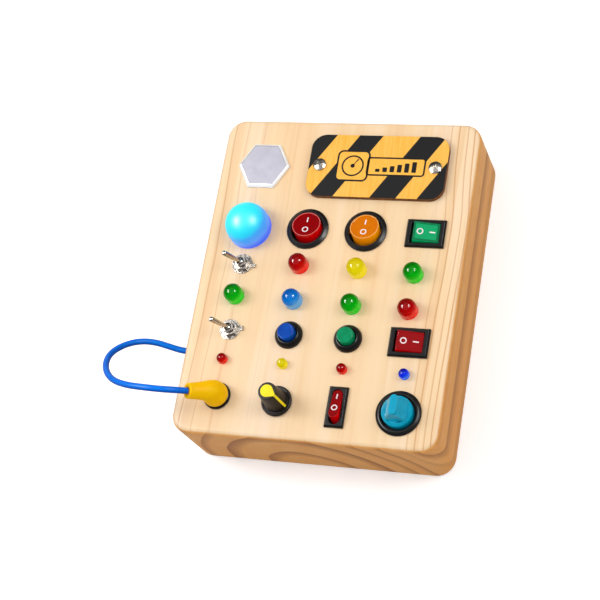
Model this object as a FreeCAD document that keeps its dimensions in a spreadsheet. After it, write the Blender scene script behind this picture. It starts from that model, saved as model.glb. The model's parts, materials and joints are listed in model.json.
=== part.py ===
import FreeCAD, Part, Sketcher
import math
import os
import re

# A wooden busy board: a pine block with switches, lamps, knobs and a plug on its face.
# The board lies on its back. +Z points out of the face, +Y to the edge beside the sign,
# +X to the right. The origin is at the bottom centre of the back. Lengths are in mm.

os.makedirs("parts", exist_ok=True)
doc = FreeCAD.newDocument("busy_board")
sheet = doc.addObject("Spreadsheet::Sheet", "sizes")

# Every size and place: alias, value, what it is.
SIZES = [
    ("board_width", 144.0, "block, along X"),
    ("board_length", 182.0, "block, along Y"),
    ("board_depth", 45.0, "block, from back to face"),
    ("corner_radius", 10.0, "upright corners of the block"),
    ("front_round", 3.0, "rounding of the face's edge"),
    ("back_round", 1.0, "chamfer of the back's edge"),
    ("face_thickness", 5.0, "wood left behind the face"),
    ("side_wall", 9.0, "wood left at the sides"),
    ("cavity_corner", 6.0, "router radius in the cavity's corners"),
    ("rebate_width", 6.0, "ledge that the back panel lies on"),
    ("panel_thickness", 3.0, "plywood back panel"),
    ("panel_gap", 0.2, "play round the back panel"),
    ("panel_recess", 0.2, "panel below the back's surface"),
    ("fit_gap", 0.05, "radial play of a fixed piece in its hole"),
    ("running_gap", 0.06, "radial play of a shaft in its bearing"),
    ("seat_gap", 0.1, "play between a moving piece and what it rests on"),

    ("lamp_place_x", -47.9, "X of the glowing lamp"),
    ("lamp_place_y", 25.4, "Y of the glowing lamp"),
    ("column_one", -48.4, "X of the toggles and the socket"),
    ("column_two", -15.1, "X of the second column of controls"),
    ("column_three", 17.2, "X of the third column of controls"),
    ("column_four", 49.9, "X of the fourth column of controls"),
    ("rocker_row", 26.2, "Y of the upper rockers"),
    ("upper_toggle_row", 4.3, "Y of the upper toggle"),
    ("lower_toggle_row", -33.2, "Y of the lower toggle"),
    ("button_row", -34.3, "Y of the push buttons"),
    ("red_flat_row", -34.3, "Y of the red rectangular rocker"),
    ("socket_place_y", -70.2, "Y of the socket"),
    ("pot_place_y", -70.8, "Y of the pointer knob"),
    ("slim_place_y", -71.4, "Y of the slim rocker"),
    ("rotary_place_y", -72.0, "Y of the rotary switch"),
    ("led_column_one", -49.0, "X of the first large lamp"),
    ("led_column_two", -16.0, "X of the second column of large lamps"),
    ("led_column_three", 16.3, "X of the third column of large lamps"),
    ("led_column_four", 47.0, "X of the fourth column of large lamps"),
    ("led_row_upper", 4.6, "Y of the upper large lamps, at X 0"),
    ("led_row_lower", -15.5, "Y of the lower large lamps, at X 0"),
    ("led_row_fall", 0.03, "how far those rows fall per mm to the right"),
    ("small_column_one", -49.2, "X of the first small lamp"),
    ("small_column_two", -15.6, "X of the second small lamp"),
    ("small_column_three", 16.8, "X of the third small lamp"),
    ("small_column_four", 49.9, "X of the fourth small lamp"),
    ("small_led_row", -50.7, "Y of the small lamps, at X 0"),
    ("small_row_fall", 0.015, "how far that row falls per mm to the right"),

    ("mirror_place_x", -46.5, "X of the mirror"),
    ("mirror_place_y", 62.5, "Y of the mirror"),
    ("mirror_radius", 15.0, "centre to corner of the mirror"),
    ("mirror_thickness", 2.0, "acrylic mirror"),
    ("mirror_bevel", 1.3, "bevel along the mirror's edge"),
    ("sign_place_x", 18.3, "X of the sign"),
    ("sign_place_y", 63.0, "Y of the sign"),
    ("sign_width", 76.6, "sign, along X"),
    ("sign_height", 36.6, "sign, along Y"),
    ("sign_thickness", 3.0, "plywood sign"),
    ("sign_corner", 8.0, "corner radius of the sign"),
    ("sign_screw_spacing", 64.2, "between the sign's two screws"),
    ("sign_screw_head", 3.5, "head radius"),
    ("sign_screw_rise", 2.0, "head height"),
    ("sign_screw_shank", 1.4, "shank radius"),
    ("sign_screw_length", 7.6, "shank length"),
    ("screw_slot", 0.8, "width of a cross slot"),

    ("panel_screw_inset", 19.0, "end screws, from the board's end"),
    ("panel_screw_shank", 1.2, "shank radius"),
    ("panel_screw_head", 2.4, "countersunk head radius"),
    ("panel_screw_length", 12.0, "length under the back's surface"),

    ("lamp_radius", 12.0, "dome of the glowing lamp"),
    ("lamp_straight", 5.0, "straight part under the dome"),
    ("lamp_wall", 1.4, "wall of the dome"),
    ("lamp_hole", 9.5, "radius of its hole in the face"),
    ("lamp_skirt", 6.4, "length of the dome's skirt below the face"),
    ("lamp_base_radius", 12.5, "cap behind the face"),
    ("lamp_base_depth", 9.4, "face to the back of the cap"),
    ("lamp_board_radius", 6.0, "lamp's circuit board"),
    ("lamp_chip", 5.0, "side of the lamp's chip"),

    ("round_bezel", 11.5, "radius of a round rocker's bezel"),
    ("bezel_rise", 2.0, "height of every bezel above the face"),
    ("bezel_slope", 1.6, "how far a bezel's top edge is drawn in"),
    ("bezel_edge", 0.9, "upright edge of a bezel"),
    ("barrel_radius", 9.9, "round switch's barrel"),
    ("barrel_depth", 14.0, "barrel, below the face"),
    ("round_bore", 8.95, "mouth that the round rocker swings in"),
    ("bore_depth", 8.5, "depth of the mouth"),
    ("round_rocker", 7.8, "radius of the round rocker"),
    ("round_rocker_top", 5.2, "pivot to the rocker's top"),
    ("rocker_bottom", 3.0, "pivot to the rocker's underside"),
    ("rocker_pivot", -1.0, "height of the pivot over the face"),
    ("round_tilt", 13.0, "degrees, each way"),
    ("rocker_rim", 0.6, "rim round the top of a rocker"),
    ("rocker_dish", 0.35, "depth inside the rim"),
    ("pivot_pin", 1.0, "radius of a rocker's pivot pins"),
    ("pin_reach", 0.75, "how far a pivot pin goes into the wall"),

    ("flat_bezel_width", 21.0, "long side of a flat rocker's bezel"),
    ("flat_bezel_height", 15.8, "short side"),
    ("flat_body_width", 19.0, "switch body in the face, long side"),
    ("flat_body_height", 13.0, "switch body in the face, short side"),
    ("flat_mouth_width", 15.7, "mouth, long side"),
    ("flat_mouth_height", 11.2, "mouth, short side"),
    ("flat_rocker_width", 13.6, "rocker, long side"),
    ("flat_rocker_height", 10.4, "rocker, short side"),
    ("flat_rocker_top", 4.5, "pivot to the rocker's top"),
    ("flat_tilt", 11.0, "degrees, each way"),

    ("slim_bezel_width", 10.2, "short side of the slim rocker's bezel"),
    ("slim_bezel_height", 21.8, "long side"),
    ("slim_body_width", 8.6, "switch body in the face, short side"),
    ("slim_body_height", 20.2, "switch body in the face, long side"),
    ("slim_mouth_radius", 2.9, "round ends of the mouth"),
    ("slim_mouth_height", 18.6, "mouth, long side"),
    ("slim_rocker_radius", 2.5, "round ends of the rocker"),
    ("slim_rocker_height", 16.0, "rocker, long side"),
    ("slim_rocker_top", 5.2, "pivot to the rocker's top"),
    ("slim_pivot", -1.5, "height of the pivot over the face"),
    ("slim_tilt", 14.0, "degrees, each way"),

    ("bushing_radius", 2.95, "toggle's threaded bushing"),
    ("bushing_rise", 4.6, "bushing above the face"),
    ("bushing_bore", 2.1, "mouth of the bushing"),
    ("toggle_width", 8.0, "toggle's body, along X"),
    ("toggle_length", 13.0, "toggle's body, along Y"),
    ("toggle_depth", 9.5, "toggle's body, along Z"),
    ("toggle_pivot", 3.0, "height of the lever's ball over the face"),
    ("toggle_tilt", 25.0, "degrees, each way"),
    ("lever_length", 14.2, "ball's centre to the lever's tip"),
    ("lever_tip", 1.45, "radius at the tip"),
    ("lever_neck", 1.1, "radius at the ball"),
    ("lever_tail", 3.0, "pin below the ball"),
    ("lever_tail_radius", 0.6, "radius of that pin"),
    ("washer_radius", 5.6, "toggle's tabbed washer"),
    ("washer_thickness", 0.7, "tabbed washer"),
    ("washer_tab", 2.0, "tab's length beyond the washer"),
    ("star_washer_radius", 5.0, "toothed lock washer"),
    ("star_washer_thickness", 0.6, "toothed lock washer"),
    ("star_washer_teeth", 12, "number of teeth"),
    ("toggle_nut_flats", 8.0, "across flats"),
    ("toggle_nut_thickness", 1.9, "nut"),

    ("collar_radius", 7.6, "push button's collar, at the face"),
    ("collar_lip", 5.6, "radius of the collar's top edge"),
    ("collar_rise", 3.5, "collar above the face"),
    ("button_barrel", 5.9, "threaded barrel"),
    ("button_depth", 14.0, "barrel, below the face"),
    ("button_floor", 2.0, "floor of the barrel"),
    ("button_mouth", 5.1, "radius of the collar's mouth"),
    ("button_mouth_depth", 1.4, "depth of the mouth's recess"),
    ("button_cap", 4.5, "radius of the cap"),
    ("button_flange", 5.2, "radius of the flange that keeps the cap in"),
    ("button_flange_thickness", 1.0, "that flange"),
    ("button_cap_top", 7.0, "cap above the face"),
    ("button_cap_bottom", 5.0, "cap below the face"),
    ("button_chamfer", 0.5, "edge of the cap"),
    ("spring_radius", 3.0, "mean radius of the spring"),
    ("spring_wire", 0.3, "radius of its wire"),
    ("spring_turns", 5, "number of turns"),
    ("panel_nut_flats", 15.0, "across flats, nuts behind the face"),
    ("panel_nut_thickness", 2.5, "nut"),

    ("large_led_radius", 5.0, "large lamp"),
    ("large_led_straight", 4.6, "straight part above the face"),
    ("large_led_flange", 5.6, "flange behind the face"),
    ("small_led_radius", 2.7, "small lamp"),
    ("small_led_straight", 2.2, "straight part above the face"),
    ("small_led_flange", 3.1, "flange behind the face"),
    ("led_flange_thickness", 1.5, "flange"),
    ("led_lead_width", 0.5, "side of a lead"),
    ("led_lead_length", 11.0, "lead"),
    ("led_lead_spacing", 2.54, "between a lamp's two leads"),

    ("pot_radius", 8.2, "potentiometer's can"),
    ("pot_depth", 8.0, "can, below the face's back"),
    ("pot_bushing", 3.5, "threaded bushing"),
    ("pot_bushing_rise", 2.2, "bushing above the face"),
    ("pot_shaft_radius", 2.9, "shaft"),
    ("pot_shaft_top", 13.0, "shaft above the face"),
    ("pot_shaft_foot", 9.0, "shaft below the face"),
    ("pot_nut_flats", 10.0, "across flats"),
    ("pot_nut_thickness", 1.8, "nut"),
    ("knob_flange", 8.2, "radius of the pointer knob's flange"),
    ("knob_flange_rise", 1.9, "flange's thickness"),
    ("knob_gap", 0.4, "knob above the face"),
    ("knob_foot", 6.2, "radius at the foot of the knob's barrel"),
    ("knob_head", 4.75, "radius at the knob's top"),
    ("knob_top", 18.0, "knob's top above the face"),
    ("knob_hollow", 5.9, "hollow over the nut, radius"),
    ("knob_hollow_rise", 2.8, "hollow's roof above the face"),
    ("knob_cap_radius", 3.3, "coloured cap"),
    ("knob_cap_rise", 0.5, "cap above the knob's top"),
    ("pointer_width", 1.3, "coloured line down the knob's side"),
    ("pointer_skin", 0.25, "how proud that line stands"),
    ("knob_pointer", -25.0, "degrees from +X to the knob's pointer"),

    ("rotary_bezel", 11.9, "radius of the rotary switch's bezel"),
    ("rotary_mouth", 9.3, "mouth that the knob sits in"),
    ("rotary_mouth_depth", 2.0, "depth of the mouth"),
    ("rotary_disc", 8.1, "radius of the knob's disc"),
    ("rotary_disc_foot", 1.8, "disc's underside, below the face"),
    ("rotary_disc_top", 5.6, "disc's top, above the face"),
    ("rotary_edge", 1.2, "bevel of the disc"),
    ("rotary_gable_top", 11.8, "top of the sloping flanks"),
    ("rotary_fin_top", 13.2, "top of the grip"),
    ("rotary_fin_width", 4.0, "grip"),
    ("rotary_fin_front", 6.0, "grip's length on the pointer side"),
    ("rotary_fin_back", 4.2, "grip's length on the far side"),
    ("rotary_stem", 3.0, "radius of the knob's stem"),
    ("rotary_stem_depth", 9.0, "stem, below the face"),

    ("jack_collar", 7.4, "radius of the socket's collar"),
    ("jack_rise", 2.0, "collar above the face"),
    ("jack_barrel", 5.9, "socket's barrel"),
    ("jack_depth", 15.0, "barrel, below the face"),
    ("pin_radius", 2.0, "plug's pin"),
    ("pin_length", 13.0, "plug's pin, from the sleeve"),
    ("sleeve_foot", 6.8, "radius of the plug's sleeve, at the socket"),
    ("sleeve_foot_rise", 2.4, "upright foot of the sleeve"),
    ("sleeve_shoulder", 6.2, "radius at the sleeve's shoulder"),
    ("sleeve_waist", 4.9, "radius half way up"),
    ("sleeve_end", 4.15, "radius where the cord comes out"),

    ("cord_radius", 1.7, "cord"),
    ("grommet_radius", 3.3, "grommet's neck in the side wall"),
    ("grommet_flange", 4.8, "grommet's flange outside"),
    ("grommet_flange_thickness", 2.5, "flange"),
    ("cord_tail", 7.0, "cord inside the cavity"),

    ("battery_length", 68.0, "battery box, along X"),
    ("battery_width", 37.0, "battery box, along Y"),
    ("battery_height", 18.0, "battery box, up from the back"),
    ("battery_wall", 1.5, "wall of the box"),
    ("battery_lip", 4.0, "lip that lies on the panel"),
    ("battery_place_x", 0.0, "X of the battery box"),
    ("battery_place_y", -6.0, "Y of the battery box"),
    ("door_thickness", 1.6, "battery door"),
    ("door_recess", 0.4, "door below the back's surface"),
    ("door_ledge", 2.0, "ledge that the door lies on"),
    ("door_screw_radius", 2.2, "door screw's head"),
    ("door_screw_shank", 1.1, "door screw's shank"),
    ("door_screw_length", 4.5, "door screw"),
    ("cell_radius", 7.0, "penlight cell"),
    ("cell_length", 48.5, "penlight cell, without its button"),
    ("cell_button", 2.6, "radius of the cell's button"),
    ("cell_button_rise", 1.2, "height of the cell's button"),
    ("contact_thickness", 0.5, "contact plates"),

    ("blade_width", 4.0, "terminal blade"),
    ("blade_thickness", 0.8, "terminal blade"),
    ("blade_length", 7.0, "terminal blade"),
    ("lug_width", 1.6, "small solder lug"),
    ("lug_length", 4.0, "small solder lug"),
]

# The cord's points, from the plug's sleeve to the grommet in the left side wall.
CORD_POINTS = [
    (-58.4, -73.7, 62.0),
    (-63.2, -75.6, 68.0),
    (-70.9, -76.7, 71.5),
    (-79.9, -76.4, 71.5),
    (-90.2, -75.2, 69.0),
    (-101.4, -71.3, 63.5),
    (-110.7, -62.7, 55.0),
    (-114.9, -52.1, 45.5),
    (-112.4, -44.0, 37.5),
    (-106.1, -38.7, 31.5),
    (-98.6, -37.0, 27.0),
    (-91.0, -37.9, 23.9),
    (-82.5, -39.5, 22.0),
    (-74.5, -39.5, 22.0),
]

for row, (alias, value, note) in enumerate(SIZES, start=1):
    sheet.set("A%d" % row, note)
    sheet.set("B%d" % row, str(value))
    sheet.setAlias("B%d" % row, alias)
doc.recompute()


class Values:
    """The sheet's numbers, read by alias."""

    def __getattr__(self, alias):
        return float(sheet.get(alias))


size = Values()
ALIASES = {alias for alias, value, note in SIZES}
PARTS = []


def bind(thing, prop, text):
    """Bind a property to an expression in which each alias is a cell of the sheet."""
    def name_cell(word):
        return "sizes." + word.group() if word.group() in ALIASES else word.group()
    thing.setExpression(prop, re.sub(r"[a-z]+(?:_[a-z]+)*", name_cell, text))


def place(thing, x="0", y="0", z="0", axis=None, angle="0"):
    """Put a thing at x, y, z, turned about an axis through its own origin."""
    if axis is not None:
        thing.Placement = FreeCAD.Placement(FreeCAD.Vector(), FreeCAD.Rotation(axis, 10))
        bind(thing, "Placement.Rotation.Angle", angle)
    bind(thing, "Placement.Base.x", x)
    bind(thing, "Placement.Base.y", y)
    bind(thing, "Placement.Base.z", z)
    return thing


X_AXIS = FreeCAD.Vector(1, 0, 0)
Y_AXIS = FreeCAD.Vector(0, 1, 0)
Z_AXIS = FreeCAD.Vector(0, 0, 1)


def cylinder(name, radius, height, x="0", y="0", z="0", axis=None, angle="0"):
    thing = doc.addObject("Part::Cylinder", name)
    bind(thing, "Radius", radius)
    bind(thing, "Height", height)
    return place(thing, x, y, z, axis, angle)


def cone(name, foot, top, height, x="0", y="0", z="0"):
    thing = doc.addObject("Part::Cone", name)
    bind(thing, "Radius1", foot)
    bind(thing, "Radius2", top)
    bind(thing, "Height", height)
    return place(thing, x, y, z)


def sphere(name, radius, z="0"):
    thing = doc.addObject("Part::Sphere", name)
    bind(thing, "Radius", radius)
    return place(thing, z=z)


def block(name, width, depth, height, z="0", x="0", y="0"):
    """A box centred on x and y, standing on z."""
    thing = doc.addObject("Part::Box", name)
    bind(thing, "Length", width)
    bind(thing, "Width", depth)
    bind(thing, "Height", height)
    return place(thing, "%s - (%s) / 2" % (x, width), "%s - (%s) / 2" % (y, depth), z)


def hexagon(name, flats, height, z="0"):
    thing = doc.addObject("Part::Prism", name)
    thing.Polygon = 6
    bind(thing, "Circumradius", "(%s) / 2 / cos(30)" % flats)
    bind(thing, "Height", height)
    return place(thing, z=z)


def fuse(name, *things):
    thing = doc.addObject("Part::MultiFuse", name)
    thing.Shapes = list(things)
    return thing


def cut(name, base, *tools):
    thing = doc.addObject("Part::Cut", name)
    thing.Base = base
    thing.Tool = tools[0] if len(tools) == 1 else fuse(name + "_tools", *tools)
    return thing


def common(name, one, other):
    thing = doc.addObject("Part::MultiCommon", name)
    thing.Shapes = [one, other]
    return thing


def group(name, *things):
    """Separate solids that share one node."""
    thing = doc.addObject("Part::Compound", name)
    thing.Links = list(things)
    return thing


def copy_at(name, source, x="0", y="0", z="0", axis=None, angle="0"):
    return place(group(name, source), x, y, z, axis, angle)


def node(label, thing):
    """Name a finished sub-part, so that it is written to its own file."""
    thing.Label = label
    PARTS.append(thing)
    return thing


def origin_plane(body, role):
    return [f for f in body.Origin.OriginFeatures if f.Role == role][0]


def sketch_on(body, name, role="XY_Plane", offset="0"):
    sketch = body.newObject("Sketcher::SketchObject", name)
    sketch.AttachmentSupport = [(origin_plane(body, role), "")]
    sketch.MapMode = "FlatFace"
    bind(sketch, "AttachmentOffset.Base.z", offset)
    return sketch


def fix_point(sketch, geometry, end, x, y):
    """Hold one point of a sketch at x, y, each an expression."""
    for kind, text in (("DistanceX", x), ("DistanceY", y)):
        number = sketch.addConstraint(Sketcher.Constraint(kind, geometry, end, 1.0))
        bind(sketch, "Constraints[%d]" % number, text)


def add_polygon(sketch, corners):
    """A closed outline of straight lines through corners given as expressions."""
    count = len(corners)
    ring = []
    for step in range(count):
        turn = 2 * math.pi * step / count
        ring.append(FreeCAD.Vector(10 * math.cos(turn), 10 * math.sin(turn), 0))
    first = sketch.GeometryCount
    for step in range(count):
        sketch.addGeometry(Part.LineSegment(ring[step], ring[(step + 1) % count]), False)
    for step in range(count):
        after = first + (step + 1) % count
        sketch.addConstraint(Sketcher.Constraint("Coincident", first + step, 2, after, 1))
    for step, (x, y) in enumerate(corners):
        fix_point(sketch, first + step, 1, x, y)


def add_rectangle(sketch, width, height, x="0", y="0"):
    half_width = "(%s) / 2" % width
    half_height = "(%s) / 2" % height
    add_polygon(sketch, [("%s + %s" % (x, half_width), "%s + %s" % (y, half_height)),
                         ("%s - %s" % (x, half_width), "%s + %s" % (y, half_height)),
                         ("%s - %s" % (x, half_width), "%s - %s" % (y, half_height)),
                         ("%s + %s" % (x, half_width), "%s - %s" % (y, half_height))])


def add_circle(sketch, radius, x="0", y="0"):
    circle = sketch.addGeometry(Part.Circle(FreeCAD.Vector(1, 1, 0), Z_AXIS, 2.0), False)
    number = sketch.addConstraint(Sketcher.Constraint("Radius", circle, 2.0))
    bind(sketch, "Constraints[%d]" % number, radius)
    fix_point(sketch, circle, 3, x, y)


def pad(body, sketch, length):
    feature = body.newObject("PartDesign::Pad", sketch.Name + "_pad")
    feature.Profile = sketch
    bind(feature, "Length", length)
    return feature


def edges_where(shape, test):
    return ["Edge%d" % (i + 1) for i, edge in enumerate(shape.Edges) if test(edge)]


def upright(edge):
    box = edge.BoundBox
    return box.XLength < 0.01 and box.YLength < 0.01


def lying_at(height):
    def test(edge):
        return edge.BoundBox.ZLength < 0.01 and abs(edge.BoundBox.ZMin - height) < 0.01
    return test


def dress(body, kind, base, test, amount):
    """Fillet or chamfer the edges of a feature that pass a test."""
    doc.recompute()
    feature = body.newObject("PartDesign::" + kind, base.Name + "_" + kind.lower())
    feature.Base = (base, edges_where(base.Shape, test))
    bind(feature, "Radius" if kind == "Fillet" else "Size", amount)
    return feature


def revolved(name, outline):
    """A turned body: its outline is (radius, height) corners, given as expressions."""
    body = doc.addObject("PartDesign::Body", name)
    sketch = sketch_on(body, name + "_outline", "XZ_Plane")
    add_polygon(sketch, outline)
    feature = body.newObject("PartDesign::Revolution", name + "_turned")
    feature.Profile = sketch
    feature.ReferenceAxis = (sketch, ["V_Axis"])
    feature.Angle = 360
    return body


# The block and its back panel.

def make_housing():
    body = doc.addObject("PartDesign::Body", "housing_body")
    outline = sketch_on(body, "housing_outline")
    add_rectangle(outline, "board_width", "board_length")
    block_pad = pad(body, outline, "board_depth")
    corners = dress(body, "Fillet", block_pad, upright, "corner_radius")
    front = dress(body, "Fillet", corners, lying_at(size.board_depth), "front_round")
    dress(body, "Chamfer", front, lying_at(0), "back_round")

    cavity_body = doc.addObject("PartDesign::Body", "cavity_body")
    cavity = sketch_on(cavity_body, "cavity_outline")
    add_rectangle(cavity, "board_width - 2 * side_wall", "board_length - 2 * side_wall")
    cavity_pad = pad(cavity_body, cavity, "board_depth - face_thickness")
    dress(cavity_body, "Fillet", cavity_pad, upright, "cavity_corner")

    rebate_body = doc.addObject("PartDesign::Body", "rebate_body")
    rebate = sketch_on(rebate_body, "rebate_outline")
    ledge = "2 * (side_wall - rebate_width)"
    add_rectangle(rebate, "board_width - " + ledge, "board_length - " + ledge)
    rebate_pad = pad(rebate_body, rebate, "panel_thickness")
    dress(rebate_body, "Fillet", rebate_pad, upright, "cavity_corner")

    holes_body = doc.addObject("PartDesign::Body", "holes_body")
    holes = sketch_on(holes_body, "holes_outline", offset="board_depth - face_thickness - 1")
    add_circle(holes, "lamp_hole", "lamp_place_x", "lamp_place_y")
    add_circle(holes, "barrel_radius + fit_gap", "column_two", "rocker_row")
    add_circle(holes, "barrel_radius + fit_gap", "column_three", "rocker_row")
    for row in ("rocker_row", "red_flat_row"):
        add_rectangle(holes, "flat_body_width + 2 * fit_gap", "flat_body_height + 2 * fit_gap",
                      "column_four", row)
    add_rectangle(holes, "slim_body_width + 2 * fit_gap", "slim_body_height + 2 * fit_gap",
                  "column_three", "slim_place_y")
    for row in ("upper_toggle_row", "lower_toggle_row"):
        add_circle(holes, "bushing_radius + fit_gap", "column_one", row)
    for column in ("column_two", "column_three"):
        add_circle(holes, "button_barrel + fit_gap", column, "button_row")
    add_circle(holes, "jack_barrel + fit_gap", "column_one", "socket_place_y")
    add_circle(holes, "pot_bushing + fit_gap", "column_two", "pot_place_y")
    add_circle(holes, "barrel_radius + fit_gap", "column_four", "rotary_place_y")
    for column, row in LARGE_LEDS:
        add_circle(holes, "large_led_radius + fit_gap", column, row)
    for column, row in SMALL_LEDS:
        add_circle(holes, "small_led_radius + fit_gap", column, row)
    for side in ("+", "-"):
        add_circle(holes, "sign_screw_shank + fit_gap",
                   "sign_place_x %s sign_screw_spacing / 2" % side, "sign_place_y")
    pad(holes_body, holes, "face_thickness + 2")

    grommet_hole = cylinder("grommet_hole", "grommet_radius + fit_gap", "side_wall + 2",
                            "-board_width / 2 - 1", CORD_EXIT_Y, CORD_EXIT_Z, Y_AXIS, "90")
    pilots = []
    for number, (x, y) in enumerate(PANEL_SCREWS):
        pilots.append(cylinder("panel_pilot%d" % number, "panel_screw_shank + fit_gap",
                               "panel_screw_length + 1", x, y))
    node("wood_housing", cut("wood_housing", body, cavity_body, rebate_body, holes_body,
                             grommet_hole, *pilots))


def make_back_panel():
    body = doc.addObject("PartDesign::Body", "panel_body")
    outline = sketch_on(body, "panel_outline")
    ledge = "2 * (side_wall - rebate_width + panel_gap)"
    add_rectangle(outline, "board_width - " + ledge, "board_length - " + ledge)
    panel = pad(body, outline, "panel_thickness - panel_recess")
    dress(body, "Fillet", panel, upright, "cavity_corner")
    place(body, z="panel_recess")
    window = block("battery_window", "battery_length + 2 * panel_gap",
                   "battery_width + 2 * panel_gap", "panel_thickness + 2", "-1",
                   "battery_place_x", "battery_place_y")
    sinks = []
    for number, (x, y) in enumerate(PANEL_SCREWS):
        rise = "panel_screw_head - panel_screw_shank"
        sinks.append(cone("panel_sink%d" % number, "panel_screw_head + fit_gap",
                          "panel_screw_shank + fit_gap", rise, x, y, "panel_recess"))
        sinks.append(cylinder("panel_hole%d" % number, "panel_screw_shank + fit_gap",
                              "panel_thickness + 1", x, y))
    node("back_panel", cut("back_panel", body, window, *sinks))

    head = cone("panel_screw_cone", "panel_screw_head", "panel_screw_shank",
                "panel_screw_head - panel_screw_shank")
    shank = cylinder("panel_screw_rod", "panel_screw_shank", "panel_screw_length")
    slots = cross_slot("panel_screw_slot", "panel_screw_head * 1.2", "0.9", "0")
    screw = cut("panel_screw", fuse("panel_screw_blank", head, shank), *slots)
    copies = [copy_at("panel_screw%d" % number, screw, x, y, "panel_recess")
              for number, (x, y) in enumerate(PANEL_SCREWS)]
    node("back_panel_screws", group("back_panel_screws", *copies))


def cross_slot(name, length, depth, z):
    return (block(name + "_one", length, "screw_slot", depth, z),
            block(name + "_two", "screw_slot", length, depth, z))


# What is fixed to the face.

def make_mirror():
    prism = doc.addObject("Part::Prism", "mirror_prism")
    prism.Polygon = 6
    bind(prism, "Circumradius", "mirror_radius")
    bind(prism, "Height", "mirror_thickness")
    doc.recompute()
    rim = doc.addObject("Part::Chamfer", "mirror")
    rim.Base = prism
    top = lying_at(size.mirror_thickness)
    fall = size.mirror_thickness * 0.55
    rim.Edges = [(number + 1, fall, size.mirror_bevel)
                 for number, edge in enumerate(prism.Shape.Edges) if top(edge)]
    node("mirror", place(rim, "mirror_place_x", "mirror_place_y", "board_depth"))


def make_sign():
    body = doc.addObject("PartDesign::Body", "sign_body")
    outline = sketch_on(body, "sign_outline")
    add_rectangle(outline, "sign_width", "sign_height")
    plate = pad(body, outline, "sign_thickness")
    dress(body, "Fillet", plate, upright, "sign_corner")
    holes = [cylinder("sign_hole_" + side, "sign_screw_shank + fit_gap", "sign_thickness + 2",
                      sign + "sign_screw_spacing / 2", z="-1")
             for side, sign in (("left", "-"), ("right", ""))]
    sign_plate = cut("sign_plate", body, *holes)
    node("sign_plate", place(sign_plate, "sign_place_x", "sign_place_y", "board_depth"))

    dome = sphere("sign_screw_ball", "sign_screw_head * 1.7",
                  "sign_screw_rise - sign_screw_head * 1.7")
    disc = cylinder("sign_screw_disc", "sign_screw_head", "sign_screw_rise")
    head = common("sign_screw_pan", disc, dome)
    shank = cylinder("sign_screw_rod", "sign_screw_shank", "sign_screw_length + 0.5",
                     z="-sign_screw_length")
    slots = cross_slot("sign_screw_cross", "sign_screw_head * 1.15", "sign_screw_rise",
                       "sign_screw_rise * 0.35")
    screw = cut("sign_screw", fuse("sign_screw_blank", head, shank), *slots)
    copies = [copy_at("sign_screw_" + side, screw,
                      "sign_place_x %s sign_screw_spacing / 2" % sign, "sign_place_y",
                      "board_depth + sign_thickness", Z_AXIS, turn)
              for side, sign, turn in (("left", "-", "30"), ("right", "+", "65"))]
    node("sign_screws", group("sign_screws", *copies))


def make_lamp():
    outer = fuse("lamp_outer", cylinder("lamp_wall_outer", "lamp_radius", "lamp_straight"),
                 sphere("lamp_ball_outer", "lamp_radius", "lamp_straight"))
    below = block("lamp_below", "3 * lamp_radius", "3 * lamp_radius", "2 * lamp_radius",
                  "-2 * lamp_radius")
    skirt = cylinder("lamp_skirt_outer", "lamp_hole - fit_gap", "lamp_skirt + 1",
                     z="-lamp_skirt")
    shell = fuse("lamp_shell", cut("lamp_upper", outer, below), skirt)
    throat = cylinder("lamp_throat", "lamp_hole - fit_gap - lamp_wall",
                      "lamp_skirt + lamp_straight + 1", z="-lamp_skirt - 1")
    inside = common("lamp_inside", sphere("lamp_ball_inner", "lamp_radius - lamp_wall",
                                          "lamp_straight"),
                    cylinder("lamp_room", "lamp_radius", "2 * lamp_radius",
                             z="lamp_wall"))
    dome = cut("lamp_dome", shell, throat, inside)
    node("lamp_dome", place(dome, "lamp_place_x", "lamp_place_y", "board_depth"))

    under = "-face_thickness"
    cap = revolved("lamp_cap", [
        ("0", "-lamp_base_depth"),
        ("lamp_base_radius", "-lamp_base_depth"),
        ("lamp_base_radius", under),
        ("lamp_hole", under),
        ("lamp_hole", "-lamp_skirt - seat_gap"),
        ("lamp_hole - 2 * fit_gap - lamp_wall", "-lamp_skirt - seat_gap"),
        ("lamp_hole - 2 * fit_gap - lamp_wall", "-2.5"),
        ("0", "-2.5")])
    node("lamp_base", place(cap, "lamp_place_x", "lamp_place_y", "board_depth"))
    board = cylinder("lamp_board", "lamp_board_radius", "1", z="-2.5")
    chip = block("lamp_chip_body", "lamp_chip", "lamp_chip", "1.6", "-1.5")
    lamp = group("lamp_led_board", board, chip)
    node("lamp_led_board", place(lamp, "lamp_place_x", "lamp_place_y", "board_depth"))


# Rocker switches: each has a black body in the face and a rocker that tips on two pins.

def round_bezel_body(name, bezel, mouth, mouth_depth):
    return revolved(name, [
        (mouth, "bezel_rise"),
        (bezel + " - bezel_slope", "bezel_rise"),
        (bezel, "bezel_edge"),
        (bezel, "0"),
        ("barrel_radius", "0"),
        ("barrel_radius", "-barrel_depth"),
        ("0", "-barrel_depth"),
        ("0", "-(%s)" % mouth_depth),
        (mouth, "-(%s)" % mouth_depth)])


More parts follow.
